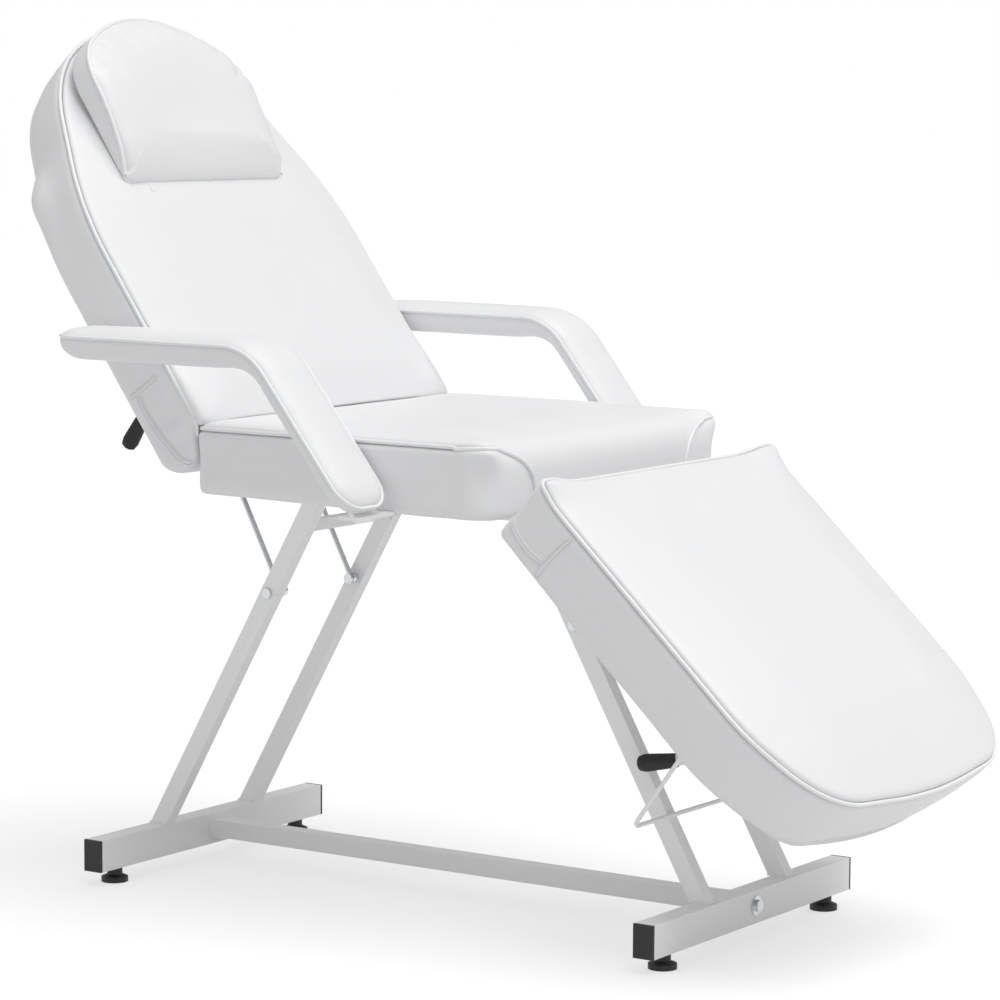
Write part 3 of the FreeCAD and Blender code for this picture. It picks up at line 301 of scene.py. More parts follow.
def mark_out(corners, spacing=None, steps=None):
    """Points round straight runs and rounded corners, and how many steps each run took."""
    arcs = []
    for index, (_, _, radius) in enumerate(corners):
        here, to_before, to_after, inward, half = corner_at(corners, index)
        reach = radius / math.tan(half)
        arcs.append((here + to_before * reach, here + to_after * reach,
                     here + inward * (radius / math.sin(half)), math.pi - 2 * half, radius))
    following = [arc[0] for arc in arcs[1:] + arcs[:1]]
    if steps is None:
        steps = [(max(3, round(radius * sweep / spacing)), max(2, round((after - end).length / spacing)))
                 for (_, end, _, sweep, radius), after in zip(arcs, following)]
        if sum(a + b for a, b in steps) % 2:
            steps[-1] = (steps[-1][0], steps[-1][1] + 1)
    points = []
    for (start, end, centre, sweep, _), after, (bend_steps, run_steps) in zip(arcs, following, steps):
        first, last = start - centre, end - centre
        for step in range(bend_steps):
            share = step / bend_steps
            points.append(centre + (first * math.sin(sweep * (1 - share)) + last * math.sin(sweep * share))
                          / math.sin(sweep))
        points += [end.lerp(after, step / run_steps) for step in range(run_steps)]
    return points, steps


def patch_inside(ring, first_corner, long_steps):
    """Grid of points that fills a closed ring from its four sides; gives rows of (x, y)."""
    count = len(ring)
    cross_steps = count // 2 - long_steps
    at = [ring[(first_corner + index) % count] for index in range(count)]
    low = at[:cross_steps + 1]
    left = at[cross_steps:cross_steps + long_steps + 1]
    high = at[cross_steps + long_steps:2 * cross_steps + long_steps + 1][::-1]
    right = (at[2 * cross_steps + long_steps:] + [at[0]])[::-1]
    rows = []
    for step in range(long_steps + 1):
        v = step / long_steps
        row = []
        for across in range(cross_steps + 1):
            u = across / cross_steps
            edges = low[across] * (1 - v) + high[across] * v + right[step] * (1 - u) + left[step] * u
            ends = (low[0] * (1 - u) * (1 - v) + low[-1] * u * (1 - v) + high[0] * (1 - u) * v
                    + high[-1] * u * v)
            row.append(edges - ends)
        rows.append(row)
    return rows


def set_down(name, form, smooth=True):
    """Closes a form into a piece of the scene, its faces turned outward."""
    bmesh.ops.recalc_face_normals(form, faces=form.faces)
    mesh = bpy.data.meshes.new(name)
    form.to_mesh(mesh)
    form.free()
    mesh.polygons.foreach_set("use_smooth", [smooth] * len(mesh.polygons))
    piece = bpy.data.objects.new(name, mesh)
    scene.collection.objects.link(piece)
    return piece


def sewn_form(name, rings, lid, base, first_corner, long_steps, place):
    """A closed cover from rings of points and the grids that close its top and its underside."""
    form = bmesh.new()
    count = len(rings[0])
    made = [[form.verts.new(place(point)) for point in ring] for ring in rings]
    for lower, upper in zip(made, made[1:]):
        for index in range(count):
            after = (index + 1) % count
            form.faces.new((lower[index], lower[after], upper[after], upper[index]))
    cross_steps = count // 2 - long_steps
    for ring, grid in ((made[-1], lid), (made[0], base)):
        at = [ring[(first_corner + index) % count] for index in range(count)]
        table = [[None] * (cross_steps + 1) for _ in range(long_steps + 1)]
        for index in range(cross_steps + 1):
            table[0][index] = at[index]
            table[long_steps][cross_steps - index] = at[cross_steps + long_steps + index]
        for index in range(long_steps + 1):
            table[index][cross_steps] = at[cross_steps + index]
            table[long_steps - index][0] = at[(2 * cross_steps + long_steps + index) % count]
        for row in range(1, long_steps):
            for column in range(1, cross_steps):
                table[row][column] = form.verts.new(place(grid[row][column]))
        for row in range(long_steps):
            for column in range(cross_steps):
                form.faces.new((table[row][column], table[row][column + 1],
                                table[row + 1][column + 1], table[row + 1][column]))
    return set_down(name, form)


settle_frames = 20


def blow_out(piece, loose, swell, pressure=4.0):
    """Cloth under the foam's pressure, held where loose is 0; no point moves further than swell."""
    count = len(piece.data.vertices)
    start = np.empty(count * 3)
    piece.data.vertices.foreach_get("co", start)
    held = piece.vertex_groups.new(name="held")
    for index, share in enumerate(loose):
        if share < 1:
            held.add([index], 1 - share, "REPLACE")
    cloth = piece.modifiers.new("cover", "CLOTH")
    cloth.settings.vertex_group_mass = "held"
    cloth.settings.quality = 4
    cloth.settings.mass = 0.25
    cloth.settings.tension_stiffness = cloth.settings.compression_stiffness = 12
    cloth.settings.bending_stiffness = 0.8
    cloth.settings.use_pressure = True
    cloth.settings.uniform_pressure_force = pressure
    cloth.settings.effector_weights.gravity = 0
    cloth.collision_settings.use_collision = False
    cloth.point_cache.frame_start, cloth.point_cache.frame_end = 1, settle_frames
    for step in range(1, settle_frames + 1):
        scene.frame_set(step)
    settled = piece.evaluated_get(bpy.context.evaluated_depsgraph_get()).data
    end = np.empty(count * 3)
    settled.vertices.foreach_get("co", end)
    piece.modifiers.remove(cloth)
    piece.vertex_groups.remove(held)
    move = (end - start).reshape(-1, 3)
    far = np.linalg.norm(move, axis=1)
    move *= np.minimum(1, swell / np.maximum(far, 1e-9))[:, None]
    piece.data.vertices.foreach_set("co", (start.reshape(-1, 3) + move).ravel())
    piece.data.update()
    scene.frame_set(1)


def keep_result(piece, step):
    """What a modifier made becomes the piece's own mesh, with no finish on it yet."""
    made = bpy.data.meshes.new_from_object(piece.evaluated_get(bpy.context.evaluated_depsgraph_get()))
    piece.modifiers.remove(step)
    piece.data = made
    made.name = piece.name
    made.materials.clear()


def subdivide_once(piece):
    """One level of subdivision, applied."""
    rounder = piece.modifiers.new("rounder", "SUBSURF")
    rounder.levels = rounder.render_levels = 1
    keep_result(piece, rounder)


def ease(low, high, value):
    share = min(1.0, max(0.0, (value - low) / (high - low)))
    return share * share * (3 - 2 * share)


def cover_form(name, outline, levels, shares_at, lift_at, crown, run, place, spacing, low_shift=None):
    """A closed cover. levels holds each ring's inset at a sewn edge and at a waterfall edge, shares_at how
    much of a waterfall a point of the outline has, and lift_at the ring's height there."""
    base_points, steps = mark_out(outline(0.0), spacing=spacing)
    count = len(base_points)
    shares = [shares_at(point) for point in base_points]
    rings = []
    for level, (sewn_inset, fall_inset) in enumerate(levels):
        corners = outline(low_shift(level) if low_shift else 0.0)
        sewn_points, _ = mark_out(trim(corners, sewn_inset), steps=steps)
        fall_points, _ = mark_out(trim(corners, fall_inset), steps=steps)
        ring = []
        for index, share in enumerate(shares):
            spot = sewn_points[index].lerp(fall_points[index], share)
            ring.append(Vector((spot.x, spot.y, lift_at(level, spot, share))))
        rings.append(ring)
    cross_steps = steps[-1][0] - steps[-1][0] // 2 + steps[-1][1] + steps[0][0] // 2
    long_steps = count // 2 - cross_steps
    first_corner = sum(a + b for a, b in steps[:-1]) + steps[-1][0] // 2

    def fill(ring, raise_by):
        rows = patch_inside([Vector((point.x, point.y)) for point in ring], first_corner, long_steps)
        border = np.array([(point.x, point.y) for point in ring])
        lifts = np.array([point.z for point in ring])
        filled = []
        for row in rows:
            filled_row = []
            for spot in row:
                gaps = np.hypot(border[:, 0] - spot.x, border[:, 1] - spot.y)
                near = 1 / (gaps + 4.0) ** 3
                level = float((near * lifts).sum() / near.sum())
                inward = min(1.0, float(gaps.min()) / run)
                filled_row.append(Vector((spot.x, spot.y, level + raise_by * (1 - (1 - inward) ** 2.2))))
            filled.append(filled_row)
        return filled

    piece = sewn_form(name, rings, fill(rings[-1], crown), fill(rings[0], 0.0), first_corner, long_steps, place)
    under = len(piece.data.vertices) - (long_steps - 1) * (cross_steps - 1)
    return piece, [-1 if index >= under else min(index // count, len(rings))
                   for index in range(len(piece.data.vertices))]


def nearness(point, spot, reach):
    """1 at a spot, falling away to nothing past its reach along the three directions."""
    return math.exp(-sum(((here - there) / wide) ** 2 for here, there, wide in zip(point, spot, reach)))


def press(piece, place, spots):
    """Dents and swells that the hand leaves in a pulled cover: place, reach along each of the section's
    three directions in millimetres, and the depth, or a shift along the three directions."""
    origin = place((0, 0, 0))
    axes = [(place(step) - origin) / mm for step in ((1, 0, 0), (0, 1, 0), (0, 0, 1))]
    moves = []
    for vertex in piece.data.vertices:
        local = [(vertex.co - origin).dot(axis) / mm for axis in axes]
        move = Vector()
        for spot, reach, push in spots:
            strength = nearness(local, spot, reach)
            if isinstance(push, tuple):
                move += sum((axis * amount for axis, amount in zip(axes, push)), Vector()) * strength
            else:
                move += vertex.normal * (push * strength)
        moves.append(move * mm)
    for vertex, move in zip(piece.data.vertices, moves):
        vertex.co += move


def gather(piece, waves):
    """Slow hollows in the foam and the finer unevenness of a cover pulled over it by hand."""
    seed = Vector((len(piece.name) * 1.7, 3.1, 5.3))
    normals = [vertex.normal.copy() for vertex in piece.data.vertices]
    for vertex, normal in zip(piece.data.vertices, normals):
        depth = sum(noise.noise(vertex.co * scale + seed) * height for scale, height in waves)
        vertex.co += normal * depth


# Inset and lift in millimetres of each ring of a cover, from the staples under the board to the
# crown. The welt is sewn in at seam_ring; a waterfall edge takes the same rings over in one round.
wrapped_edge = [(46, 0.5), (46, -0.6), (30, -0.7), (21, -0.5), (14, 0.0), (9.5, 1.0), (6.2, 3.0), (4.2, 6.5)]
seam_profile = wrapped_edge + [
    (3.2, 12), (2.9, 20), (3.3, 29), (3.8, 38), (4.0, 47), (3.7, 56), (2.9, 64), (2.2, 71),
    (1.8, 77), (2.2, 81.3), (3.6, 84.2), (6.2, 85.8), (9.8, 86.8), (7.9, 89.4), (7.3, 92.0),
    (8.8, 94.6), (12.5, 96.6), (18.5, 98.2), (27, 99.6), (38, 100.8)]
fall_profile = wrapped_edge + [
    (3.0, 12), (2.2, 20), (1.8, 29), (1.6, 38), (1.6, 46), (1.9, 53), (2.6, 59), (3.8, 64.5),
    (5.4, 69.5), (7.4, 74), (9.8, 78.2), (12.6, 82), (15.8, 85.4), (19.4, 88.4), (23.4, 91),
    (27.8, 93.2), (32.6, 95.1), (37.8, 96.8), (43.6, 98.3), (50.5, 99.7)]
band_ring, seam_ring = len(wrapped_edge), 20


def upholster(name, outline, other_edge, shares_at, crown, place, low_shift=None, lower=None, deeper=None):
    """One padded section's cover, blown out by its foam between the seams. Where shares_at is 1 it has the
    profile of other_edge. lower drops its lower edge, deeper makes its foam thicker along its length."""
    def lift_at(level, spot, share):
        lift = seam_profile[level][1] * (1 - share) + other_edge[level][1] * share
        if lower:
            lift -= lower(spot.x) * (1 - ease(8, 20, seam_profile[level][0])) * (1 - ease(0, 60, lift))
        if deeper:
            lift *= deeper(spot.x)
        return lift

    levels = [(seam[0], other[0]) for seam, other in zip(seam_profile, other_edge)]
    piece, ring_of = cover_form(name, outline, levels, shares_at, lift_at, crown, run=115.0, place=place,
                                spacing=8.5, low_shift=low_shift)
    free = []
    for ring in ring_of:
        if ring < band_ring or seam_ring - 2 <= ring <= seam_ring + 1:
            free.append(0.0)
        elif ring < seam_ring:
            free.append(0.8 * math.sin(math.pi * (ring - band_ring + 1) / (seam_ring - band_ring - 1)))
        else:
            free.append(ease(seam_ring + 1, len(levels), ring))
    blow_out(piece, free, swell=0.004)
    subdivide_once(piece)
    gather(piece, ((7.0, 0.0007), (38.0, 0.00022)))
    return piece


def hand_over(cover, body, solid):
    """A finished cover rides its body in place of the plain solid."""
    cover.data.materials.append(white_vinyl)
    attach(cover, body)
    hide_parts(solid)


def local_place(origin, along, across, up):
    """Turns millimetres in a section's own frame into metres in the part's frame."""
    origin, along, across, up = (Vector(axis) for axis in (origin, along, across, up))
    return lambda point: (origin + along * point[0] + across * point[1] + up * point[2]) * mm


def mirrored(low, half_width, corner, turns):
    right = [(low, -half_width, corner)] + [(x, -y, radius) for x, y, radius in turns if y]
    tip = [(x, y, radius) for x, y, radius in turns if not y]
    return right + tip + [(x, -y, radius) for x, y, radius in reversed(right)]


def both_sides(spots):
    """Presses given for one side, laid out for both."""
    return [((along, side * across, lift), reach,
             (push[0], side * push[1], push[2]) if isinstance(push, tuple) else push)
            for side in (-1, 1) for (along, across, lift), reach, push in spots]


seat_place = local_place((0, 0, 574), (1, 0, 0), (0, 1, 0), (0, 0, 1))
seat_rear, seat_front, seat_half = -264.7, 217.3, 298.0


def seat_outline(shift=0.0):
    return mirrored(seat_rear + shift, seat_half, 12, [(seat_front, seat_half, 42)])


def seat_front_share(point):
    return ease(seat_front - 52, seat_front - 12, point.x) * ease(seat_half - 8, seat_half - 44, abs(point.y))


def seat_slope(x):
    """The lower edge falls a little toward the front."""
    return 6.0 * ease(seat_rear, seat_front, x)


seat_cover = upholster("seat_cover", seat_outline, fall_profile, seat_front_share, crown=2.2,
                       place=seat_place, lower=seat_slope)
press(seat_cover, seat_place, both_sides([
    ((196, 298, 52), (9, 30, 26), -2.6), ((176, 298, 60), (7, 30, 30), 1.6),
    ((150, 298, 40), (10, 30, 34), -1.5), ((205, 286, 84), (34, 30, 22), (5.0, 3.0, 3.0)),
    ((-40, 298, 30), (60, 30, 30), 1.8), ((-235, 298, 46), (9, 30, 30), -1.8),
    ((-214, 298, 34), (10, 30, 26), 1.2)]))
hand_over(seat_cover, "frame", "seat_cushion")


# Welts: a thin cord in a folded strip of the same vinyl, sewn into the seam round a top panel. One
# tool sweeps every welt along its seam; other tools lay the stitches, the staples and the screws.
def tool(name, sizes):
    """A geometry tree with a mesh input, named size inputs and a finish input."""
    tree = bpy.data.node_groups.new(name, "GeometryNodeTree")
    tree.interface.new_socket("Geometry", in_out="INPUT", socket_type="NodeSocketGeometry")
    for size, value in sizes.items():
        kind = "NodeSocketVector" if isinstance(value, tuple) else "NodeSocketFloat"
        tree.interface.new_socket(size, in_out="INPUT", socket_type=kind).default_value = value
    tree.interface.new_socket("Finish", in_out="INPUT", socket_type="NodeSocketMaterial")
    tree.interface.new_socket("Geometry", in_out="OUTPUT", socket_type="NodeSocketGeometry")
    bench = Bench(tree)
    entry = tree.nodes.new("NodeGroupInput")
    return bench, {socket.name: Wire(bench, socket) for socket in entry.outputs if socket.name}


def close_tool(bench, inputs, geometry):
    whole = bench.add("GeometryNodeRealizeInstances", {}, {"Geometry": geometry})
    smooth = bench.add("GeometryNodeSetShadeSmooth", {}, {"Geometry": whole})
    coated = bench.add("GeometryNodeSetMaterial", {}, {"Geometry": smooth, "Material": inputs["Finish"]})
    bench.add("NodeGroupOutput", {}, {"Geometry": coated})
    return bench.tree


def use_tool(name, tree, lines, finish, body, sizes=None, closed=False):
    """Runs a tool along lines of points in metres and keeps the result as a plain mesh."""
    points, edges = [], []
    for line in lines:
        first = len(points)
        points += line
        edges += [(first + index, first + index + 1) for index in range(len(line) - 1)]
        if closed:
            edges.append((first + len(line) - 1, first))
    mesh = bpy.data.meshes.new(name)
    mesh.from_pydata([tuple(point) for point in points], edges, [])
    piece = bpy.data.objects.new(name, mesh)
    scene.collection.objects.link(piece)
    step = piece.modifiers.new("tool", "NODES")
    step.node_group = tree
    wanted = dict(sizes or {}, Finish=finish)
    for socket in tree.interface.items_tree:
        if socket.in_out == "INPUT" and socket.name in wanted:
            step[socket.identifier] = wanted[socket.name]
    piece.update_tag()
    keep_result(piece, step)
    piece.data.materials.append(finish)
    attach(piece, body)
    return piece


def make_welt_tool():
    bench, inputs = tool("sweep_welt", {"Radius": 0.0028, "Unevenness": 0.0003})
    line = bench.add("GeometryNodeMeshToCurve", {}, {"Mesh": inputs["Geometry"]})
    wander = bench.add("ShaderNodeTexNoise", {}, {"Scale": 21.0, "Detail": 2.0}, out=1)
    centred = bench.add("ShaderNodeVectorMath", {"operation": "SUBTRACT"}, {0: wander, 1: (0.5, 0.5, 0.5)})
    shifted = bench.add("ShaderNodeVectorMath", {"operation": "SCALE"},
                        {0: centred, "Scale": inputs["Unevenness"] * 2.0})
    loose = bench.add("GeometryNodeSetPosition", {}, {"Geometry": line, "Offset": shifted})
    ring = bench.add("GeometryNodeCurvePrimitiveCircle", {}, {"Resolution": 10, "Radius": inputs["Radius"]})
    cord = bench.add("GeometryNodeCurveToMesh", {}, {"Curve": loose, "Profile Curve": ring, "Fill Caps": True})
    return close_tool(bench, inputs, cord)


sweep_welt = make_welt_tool()


# The welt is the same vinyl as the cover, but its colour is painted brighter (0.87-0.90 against the cover's
# 0.815-0.85). This is a painted highlight standing in for the light on the welt's rounded top. The random
# patches over it are the vinyl's own uneven tone.
def welt_vinyl(bench):
    tone = bench.blend(bench.patches(25, 3.0), (0.87, 0.872, 0.878), (0.90, 0.90, 0.902))
    return {"Base Color": tone, "Roughness": 0.30 + 0.12 * bench.patches(60, 2.0),
            "Normal": bench.relief(0.15, 0.0003, bench.patches(1500, 2.0, 0.6))}


# white_welt: the cover's vinyl in a lit copy, with painted highlight in its base colour
white_welt = finish_of("white_welt_vinyl", {"Metallic": 0.0, "Coat Weight": 0.1, "Coat Roughness": 0.3},
                       welt_vinyl)
welt_inset, welt_lift = 4.4, 89.2


def flow(points, spacing):
    """A smooth line through a few points, as the welt bends between the places where it is held."""
    line = []
    held = [2 * points[0] - points[1]] + points + [2 * points[-1] - points[-2]]
    for before, here, after, beyond in zip(held, held[1:], held[2:], held[3:]):
        steps = max(1, round((after - here).length / spacing))
        for step in range(steps):
            t = step / steps
            line.append(0.5 * (2 * here + (after - before) * t
                               + (2 * before - 5 * here + 4 * after - beyond) * t ** 2
                               + (3 * here - before - 3 * after + beyond) * t ** 3))
    return line + [points[-1]]


def skin_of(piece):
    """The surface of a finished cover, to lay welts and seams on."""
    return BVHTree.FromPolygons([vertex.co.copy() for vertex in piece.data.vertices],
                                [tuple(face.vertices) for face in piece.data.polygons])


def lay_on(skin, points, proud):
    """Points moved onto the nearest place of a cover, standing proud of it."""
    found = [skin.find_nearest(point) for point in points]
    return [spot + normal * proud for spot, normal, _, _ in found]


def opened(points, gap):
    """A ring of points as a line that starts on the far side of its gap."""
    start = next(index for index, point in enumerate(points) if (point - points[index - 1]).length > gap)
    return points[start:] + points[:start]


def led_on(run, lead, spacing):
    """A seam's line with both ends led on through the lead's points, which are given for one side."""
    sign = math.copysign(1, run[0].y)
    lead_in = [Vector((along, sign * across, lift)) for along, across, lift in lead]
    lead_out = [Vector((along, -sign * across, lift)) for along, across, lift in reversed(lead)]
    return flow(lead_in, spacing)[:-1] + run + flow(lead_out, spacing)[1:]


def sew_welt(name, line, body, closed=False, **sizes):
    return use_tool(name, sweep_welt, [line], white_welt, body, sizes, closed)


seat_edge, _ = mark_out(trim(seat_outline(), welt_inset), spacing=6.0)
side_run = opened([Vector((point.x, point.y, welt_lift)) for point in seat_edge
                   if not (point.x > seat_front - 16 and abs(point.y) < 275)], gap=100)
front_rise = [(214.0, 183, 2), (216.0, 186, 24), (216.5, 192, 44), (216.0, 203, 61), (214.0, 216, 72),
              (211.0, 233, 81), (207.5, 250, 87), (204.0, 264, 90)]
seat_line = [seat_place(point) for point in led_on(side_run, front_rise, spacing=5.0)]
seat_welt = sew_welt("seat_welt", lay_on(skin_of(seat_cover), seat_line, proud=0.0016), "frame")
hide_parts("seat_piping")


# Backrest: the same make, with straight sides, sloping shoulders and a round head. Its low end is
# cut back at the top, so that it clears the seat, and bulges where the band is gathered round.
back_place = local_place((-297.7, 0, 589), (-0.5807, 0, 0.8141), (0, -1, 0), (0.8141, 0, 0.5807))
back_floor = -12.3


def headed(low, side_end, half_width, head_radius, top, corner, shoulder):
    centre = top - head_radius
    gap = math.hypot(side_end - centre, half_width)
    slope = math.atan2(-half_width, centre - side_end) + math.asin(head_radius / gap)
    apex = side_end + half_width / math.tan(-slope)
    return [(low, -half_width, corner), (side_end, -half_width, shoulder), (apex, 0, head_radius),
            (side_end, half_width, shoulder), (low, half_width, corner)]


back_start = 22.3
back_lip = (28, 38.5, 44, 46, 46, 45.6, 44.6, 43.8, 43.2, 43, 44.5, 50, 60)
lip_level = len(seam_profile) - len(back_lip)


def back_low(level):
    """How far the low end of a ring moves along the backrest: a nose that bulges under the seat's rear
    edge, then a notch over that edge and a lip that rests on the seat."""
    inset, lift = seam_profile[level]
    if level >= lip_level:
        return back_lip[level - lip_level] - back_start - inset
    return -24 * math.sin(math.pi * min(1.0, max(0.0, lift / 74))) ** 0.9


def back_outline(shift=0.0):
    return headed(back_start + shift, 392.3, 298, 256, 694.3, 15, 400)


# Insets of a band that is drawn in below: under the head here, and under the leg rest's foot end.
tucked_insets = (46, 46, 40, 34, 29.5, 26, 23, 20, 16.5, 13, 10.2, 8.4, 7, 5.7, 4.4, 3.4, 2.4, 2.5)
tucked_edge = [(tucked_insets[level] if level < len(tucked_insets) else inset, lift)
               for level, (inset, lift) in enumerate(seam_profile)]


def lifted(place, floor):
    return lambda point: place((point[0], point[1], point[2] + floor))


backrest_cover = upholster("backrest_cover", back_outline, tucked_edge, lambda point: ease(455, 545, point.x),
                           crown=7.8, place=lifted(back_place, back_floor), low_shift=back_low)
press(backrest_cover, lifted(back_place, back_floor), both_sides([
    ((455, 268, 16), (34, 40, 26), 7.0), ((527, 238, 22), (26, 40, 26), -5.0),
    ((400, 290, 60), (70, 30, 20), 1.5), ((230, 298, 40), (60, 30, 30), 1.6),
    ((78, 298, 52), (12, 30, 22), -1.6), ((58, 298, 62), (8, 30, 18), 1.4),
    ((40, 298, 50), (7, 30, 22), -1.8), ((70, 272, 96), (70, 44, 20), 6.0)]))
hand_over(backrest_cover, "backrest", "backrest_cushion")


# Leg rest: the same make again, foam on board under vinyl, tapering to a blunt rounded foot end.
# Its cover is drawn in underneath and stapled, and its two hinge-end corners stand up a little.
rest_place = local_place((216.3, 0, 567), (0.7133, 0, -0.7009), (0, 1, 0), (0.7009, 0, 0.7133))


def rest_outline(shift=0.0):
    return mirrored(10 + shift, 300, 14, [(440, 300, 200), (572, 247, 130), (598, 0, 961)])


def rest_depth(along):
    """The foam is a little thicker toward the foot end."""
    return 1 + 0.17 * max(0.0, along) / 585


rest_ears = both_sides([((12, 276, 94), (26, 46, 24), (-2.0, 2.0, 11.0))])
legrest_cover = upholster("legrest_cover", rest_outline, tucked_edge,
                          lambda point: 0.45 * ease(120, 400, point.x) + 0.55 * ease(380, 560, point.x),
                          crown=12.0, place=rest_place, deeper=rest_depth)
press(legrest_cover, rest_place, rest_ears + both_sides([
    ((60, 299, 40), (16, 30, 24), 1.6), ((205, 299, 44), (50, 30, 26), 1.8),
    ((330, 299, 40), (14, 30, 30), -1.4), ((36, 299, 70), (8, 30, 14), -1.4)]))
hand_over(legrest_cover, "legrest", "legrest_cushion")


def eared(point):
    """A point of the leg rest's seam, pulled along with the two hinge-end corners."""
    for spot, reach, pull in rest_ears:
        point += Vector(pull) * nearness(point, spot, reach)
    return rest_place(point)


rest_edge, _ = mark_out(trim(rest_outline(), welt_inset), spacing=6.0)
rest_line = [eared(Vector((point.x, point.y, welt_lift * rest_depth(point.x)))) for point in rest_edge]
rest_welt = sew_welt("legrest_welt", rest_line, "legrest", closed=True)
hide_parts("legrest_piping")
back_edge, _ = mark_out(trim(back_outline(24.0), welt_inset), spacing=6.0)
back_run = opened([Vector((point.x, point.y, welt_lift)) for point in back_edge if point.x > 53], gap=100)
tuck_in = [(34, 286, 74), (42, 290.5, 83), (49, 293, 88)]
back_line = [lifted(back_place, back_floor)(point) for point in led_on(back_run, tuck_in, spacing=3.0)]
back_welt = sew_welt("backrest_welt", back_line, "backrest")
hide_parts("backrest_piping")


# Flat seams on the boxing bands: one panel lapped over the next, with two rows of stitches through
# both. They cross the near and far bands and run round toward the hinge end.
def make_row_tool(name, sizes, part_of):
    """A tool that sets one small part after another along a line, each turned along it."""
    bench, inputs = tool(name, sizes)
    line = bench.add("GeometryNodeMeshToCurve", {}, {"Mesh": inputs["Geometry"]})
    spots = bench.add("GeometryNodeCurveToPoints", {"mode": "LENGTH"},
                      {"Curve": line, "Length": inputs["Pitch"]})
    turn = {"Vector": spots.other("Tangent")}
    if "Facing" in inputs:
        turn["Rotation"] = bench.add("FunctionNodeAlignRotationToVector", {"axis": "Z"},
                                     {"Vector": inputs["Facing"]})
    along = bench.add("FunctionNodeAlignRotationToVector",
                      {"axis": "X", "pivot_axis": "Z" if "Facing" in inputs else "AUTO"}, turn)
    placed = bench.add("GeometryNodeInstanceOnPoints", {}, {"Points": spots, "Rotation": along,
                                                           "Instance": part_of(bench, inputs)})
    return close_tool(bench, inputs, placed)


def stretched(bench, part, x, y, z, shift=(0, 0, 0)):
    size = bench.add("ShaderNodeCombineXYZ", {}, {0: x, 1: y, 2: z})
    return bench.add("GeometryNodeTransform", {}, {"Geometry": part, "Scale": size, "Translation": shift})


def one_stitch(bench, inputs):
    bead = bench.add("GeometryNodeMeshUVSphere", {}, {"Segments": 6, "Rings": 4, "Radius": 0.5})
    return stretched(bench, bead, inputs["Length"], inputs["Thickness"], inputs["Thickness"])


lay_stitches = make_row_tool("lay_stitches", {"Pitch": 0.0042, "Length": 0.0034, "Thickness": 0.0008},
                             one_stitch)


def spun_thread(bench):
    twist = bench.patches(2400, 2.0)
    return {"Base Color": bench.blend(twist, (0.74, 0.74, 0.75), (0.86, 0.86, 0.86)),
            "Roughness": 0.6 + 0.2 * twist, "Normal": bench.relief(0.3, 0.0002, twist)}


white_thread = finish_of("white_thread", {"Metallic": 0.0}, spun_thread)
lap_section = [(-5.4, -0.6), (-4.6, 1.0), (-3.8, 1.5), (-3.3, 1.2), (-2.9, -0.3), (-2.5, 1.3), (-1.6, 1.7),
               (0.0, 1.5), (1.6, 1.7), (2.5, 1.3), (2.9, -0.3), (3.3, 1.2), (3.8, 1.5), (4.6, 1.0), (5.4, -0.6)]
row_offset, row_proud = 1.3, 1.6


def flat_seam(name, skin, lines, body):
    """Lapped strips along lines on a cover, and their stitches."""
    strip = bmesh.new()
    rows = []
    for line in lines:
        laid = [skin.find_nearest(point)[:2] for point in line]
        last = len(laid) - 1
        before = None
        left, right = [], []
        for index, (spot, normal) in enumerate(laid):
            along = (laid[min(index + 1, last)][0] - laid[max(index - 1, 0)][0]).normalized()
            across = normal.cross(along).normalized()
            ends = math.sqrt(min(1.0, (min(index, last - index) + 0.4) / 2.0))
            row = [strip.verts.new(spot + across * (x * mm * ends) + normal * ((z + 0.5) * ends - 0.5) * mm)
                   for x, z in lap_section]
            if before:
                for corners in zip(before, before[1:], row[1:], row):
                    strip.faces.new(corners)
            before = row
            left.append(spot - across * row_offset * mm + normal * row_proud * mm)
            right.append(spot + across * row_offset * mm + normal * row_proud * mm)
        rows += [left[1:-1], right[1:-1]]
    lap = set_down(name, strip)
    lap.data.materials.append(white_vinyl)
    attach(lap, body)
    use_tool(name + "_stitches", lay_stitches, rows, white_thread, body)


back_seams = [[(134, 10), (133.6, 40), (133.8, 69)],
              [(131, 26.5), (119.9, 23.9), (101, 23.1), (73.9, 25.1), (52.2, 28.8), (27.6, 34.7), (12, 43),
               (2, 51)]]
rest_seams = [[(96, 4), (93, 26), (93.5, 55), (96, 84)],
              [(90, 26.5), (65.8, 21.8), (42.9, 22.9), (29.6, 25.4), (18.3, 30.1), (10, 34.5)]]
for name, seams, cover, place, half_width, body in (
        ("backrest_flat_seam", back_seams, backrest_cover, lifted(back_place, back_floor), 298, "backrest"),
        ("legrest_flat_seam", rest_seams, legrest_cover, rest_place, 300, "legrest")):
    flat_seam(name, skin_of(cover), [[place((point.x, side * half_width, point.y))
                                      for point in flow([Vector(spot) for spot in seam], spacing=3.5)]
                                     for seam in seams for side in (-1, 1)], body)


# Head pillow: a loose foam wedge in the same vinyl. A boxing band runs round the head and narrows
# to nothing at the low corners; the top panel slopes down over the end that faces the sitter.
pillow_turn, pillow_off_centre = math.radians(0.6), 11.0
pillow_low, pillow_middle, pillow_rest = 416.3, 545, 96.9


def pillow_place(point):
    """The pillow lies a little askew on the backrest, as it does after it has been pushed along."""
    along, across = point[0] - pillow_middle, point[1]
    return back_place((pillow_middle + along * math.cos(pillow_turn) + across * math.sin(pillow_turn),
                       pillow_off_centre + across * math.cos(pillow_turn) - along * math.sin(pillow_turn),
                       point[2] + pillow_rest))


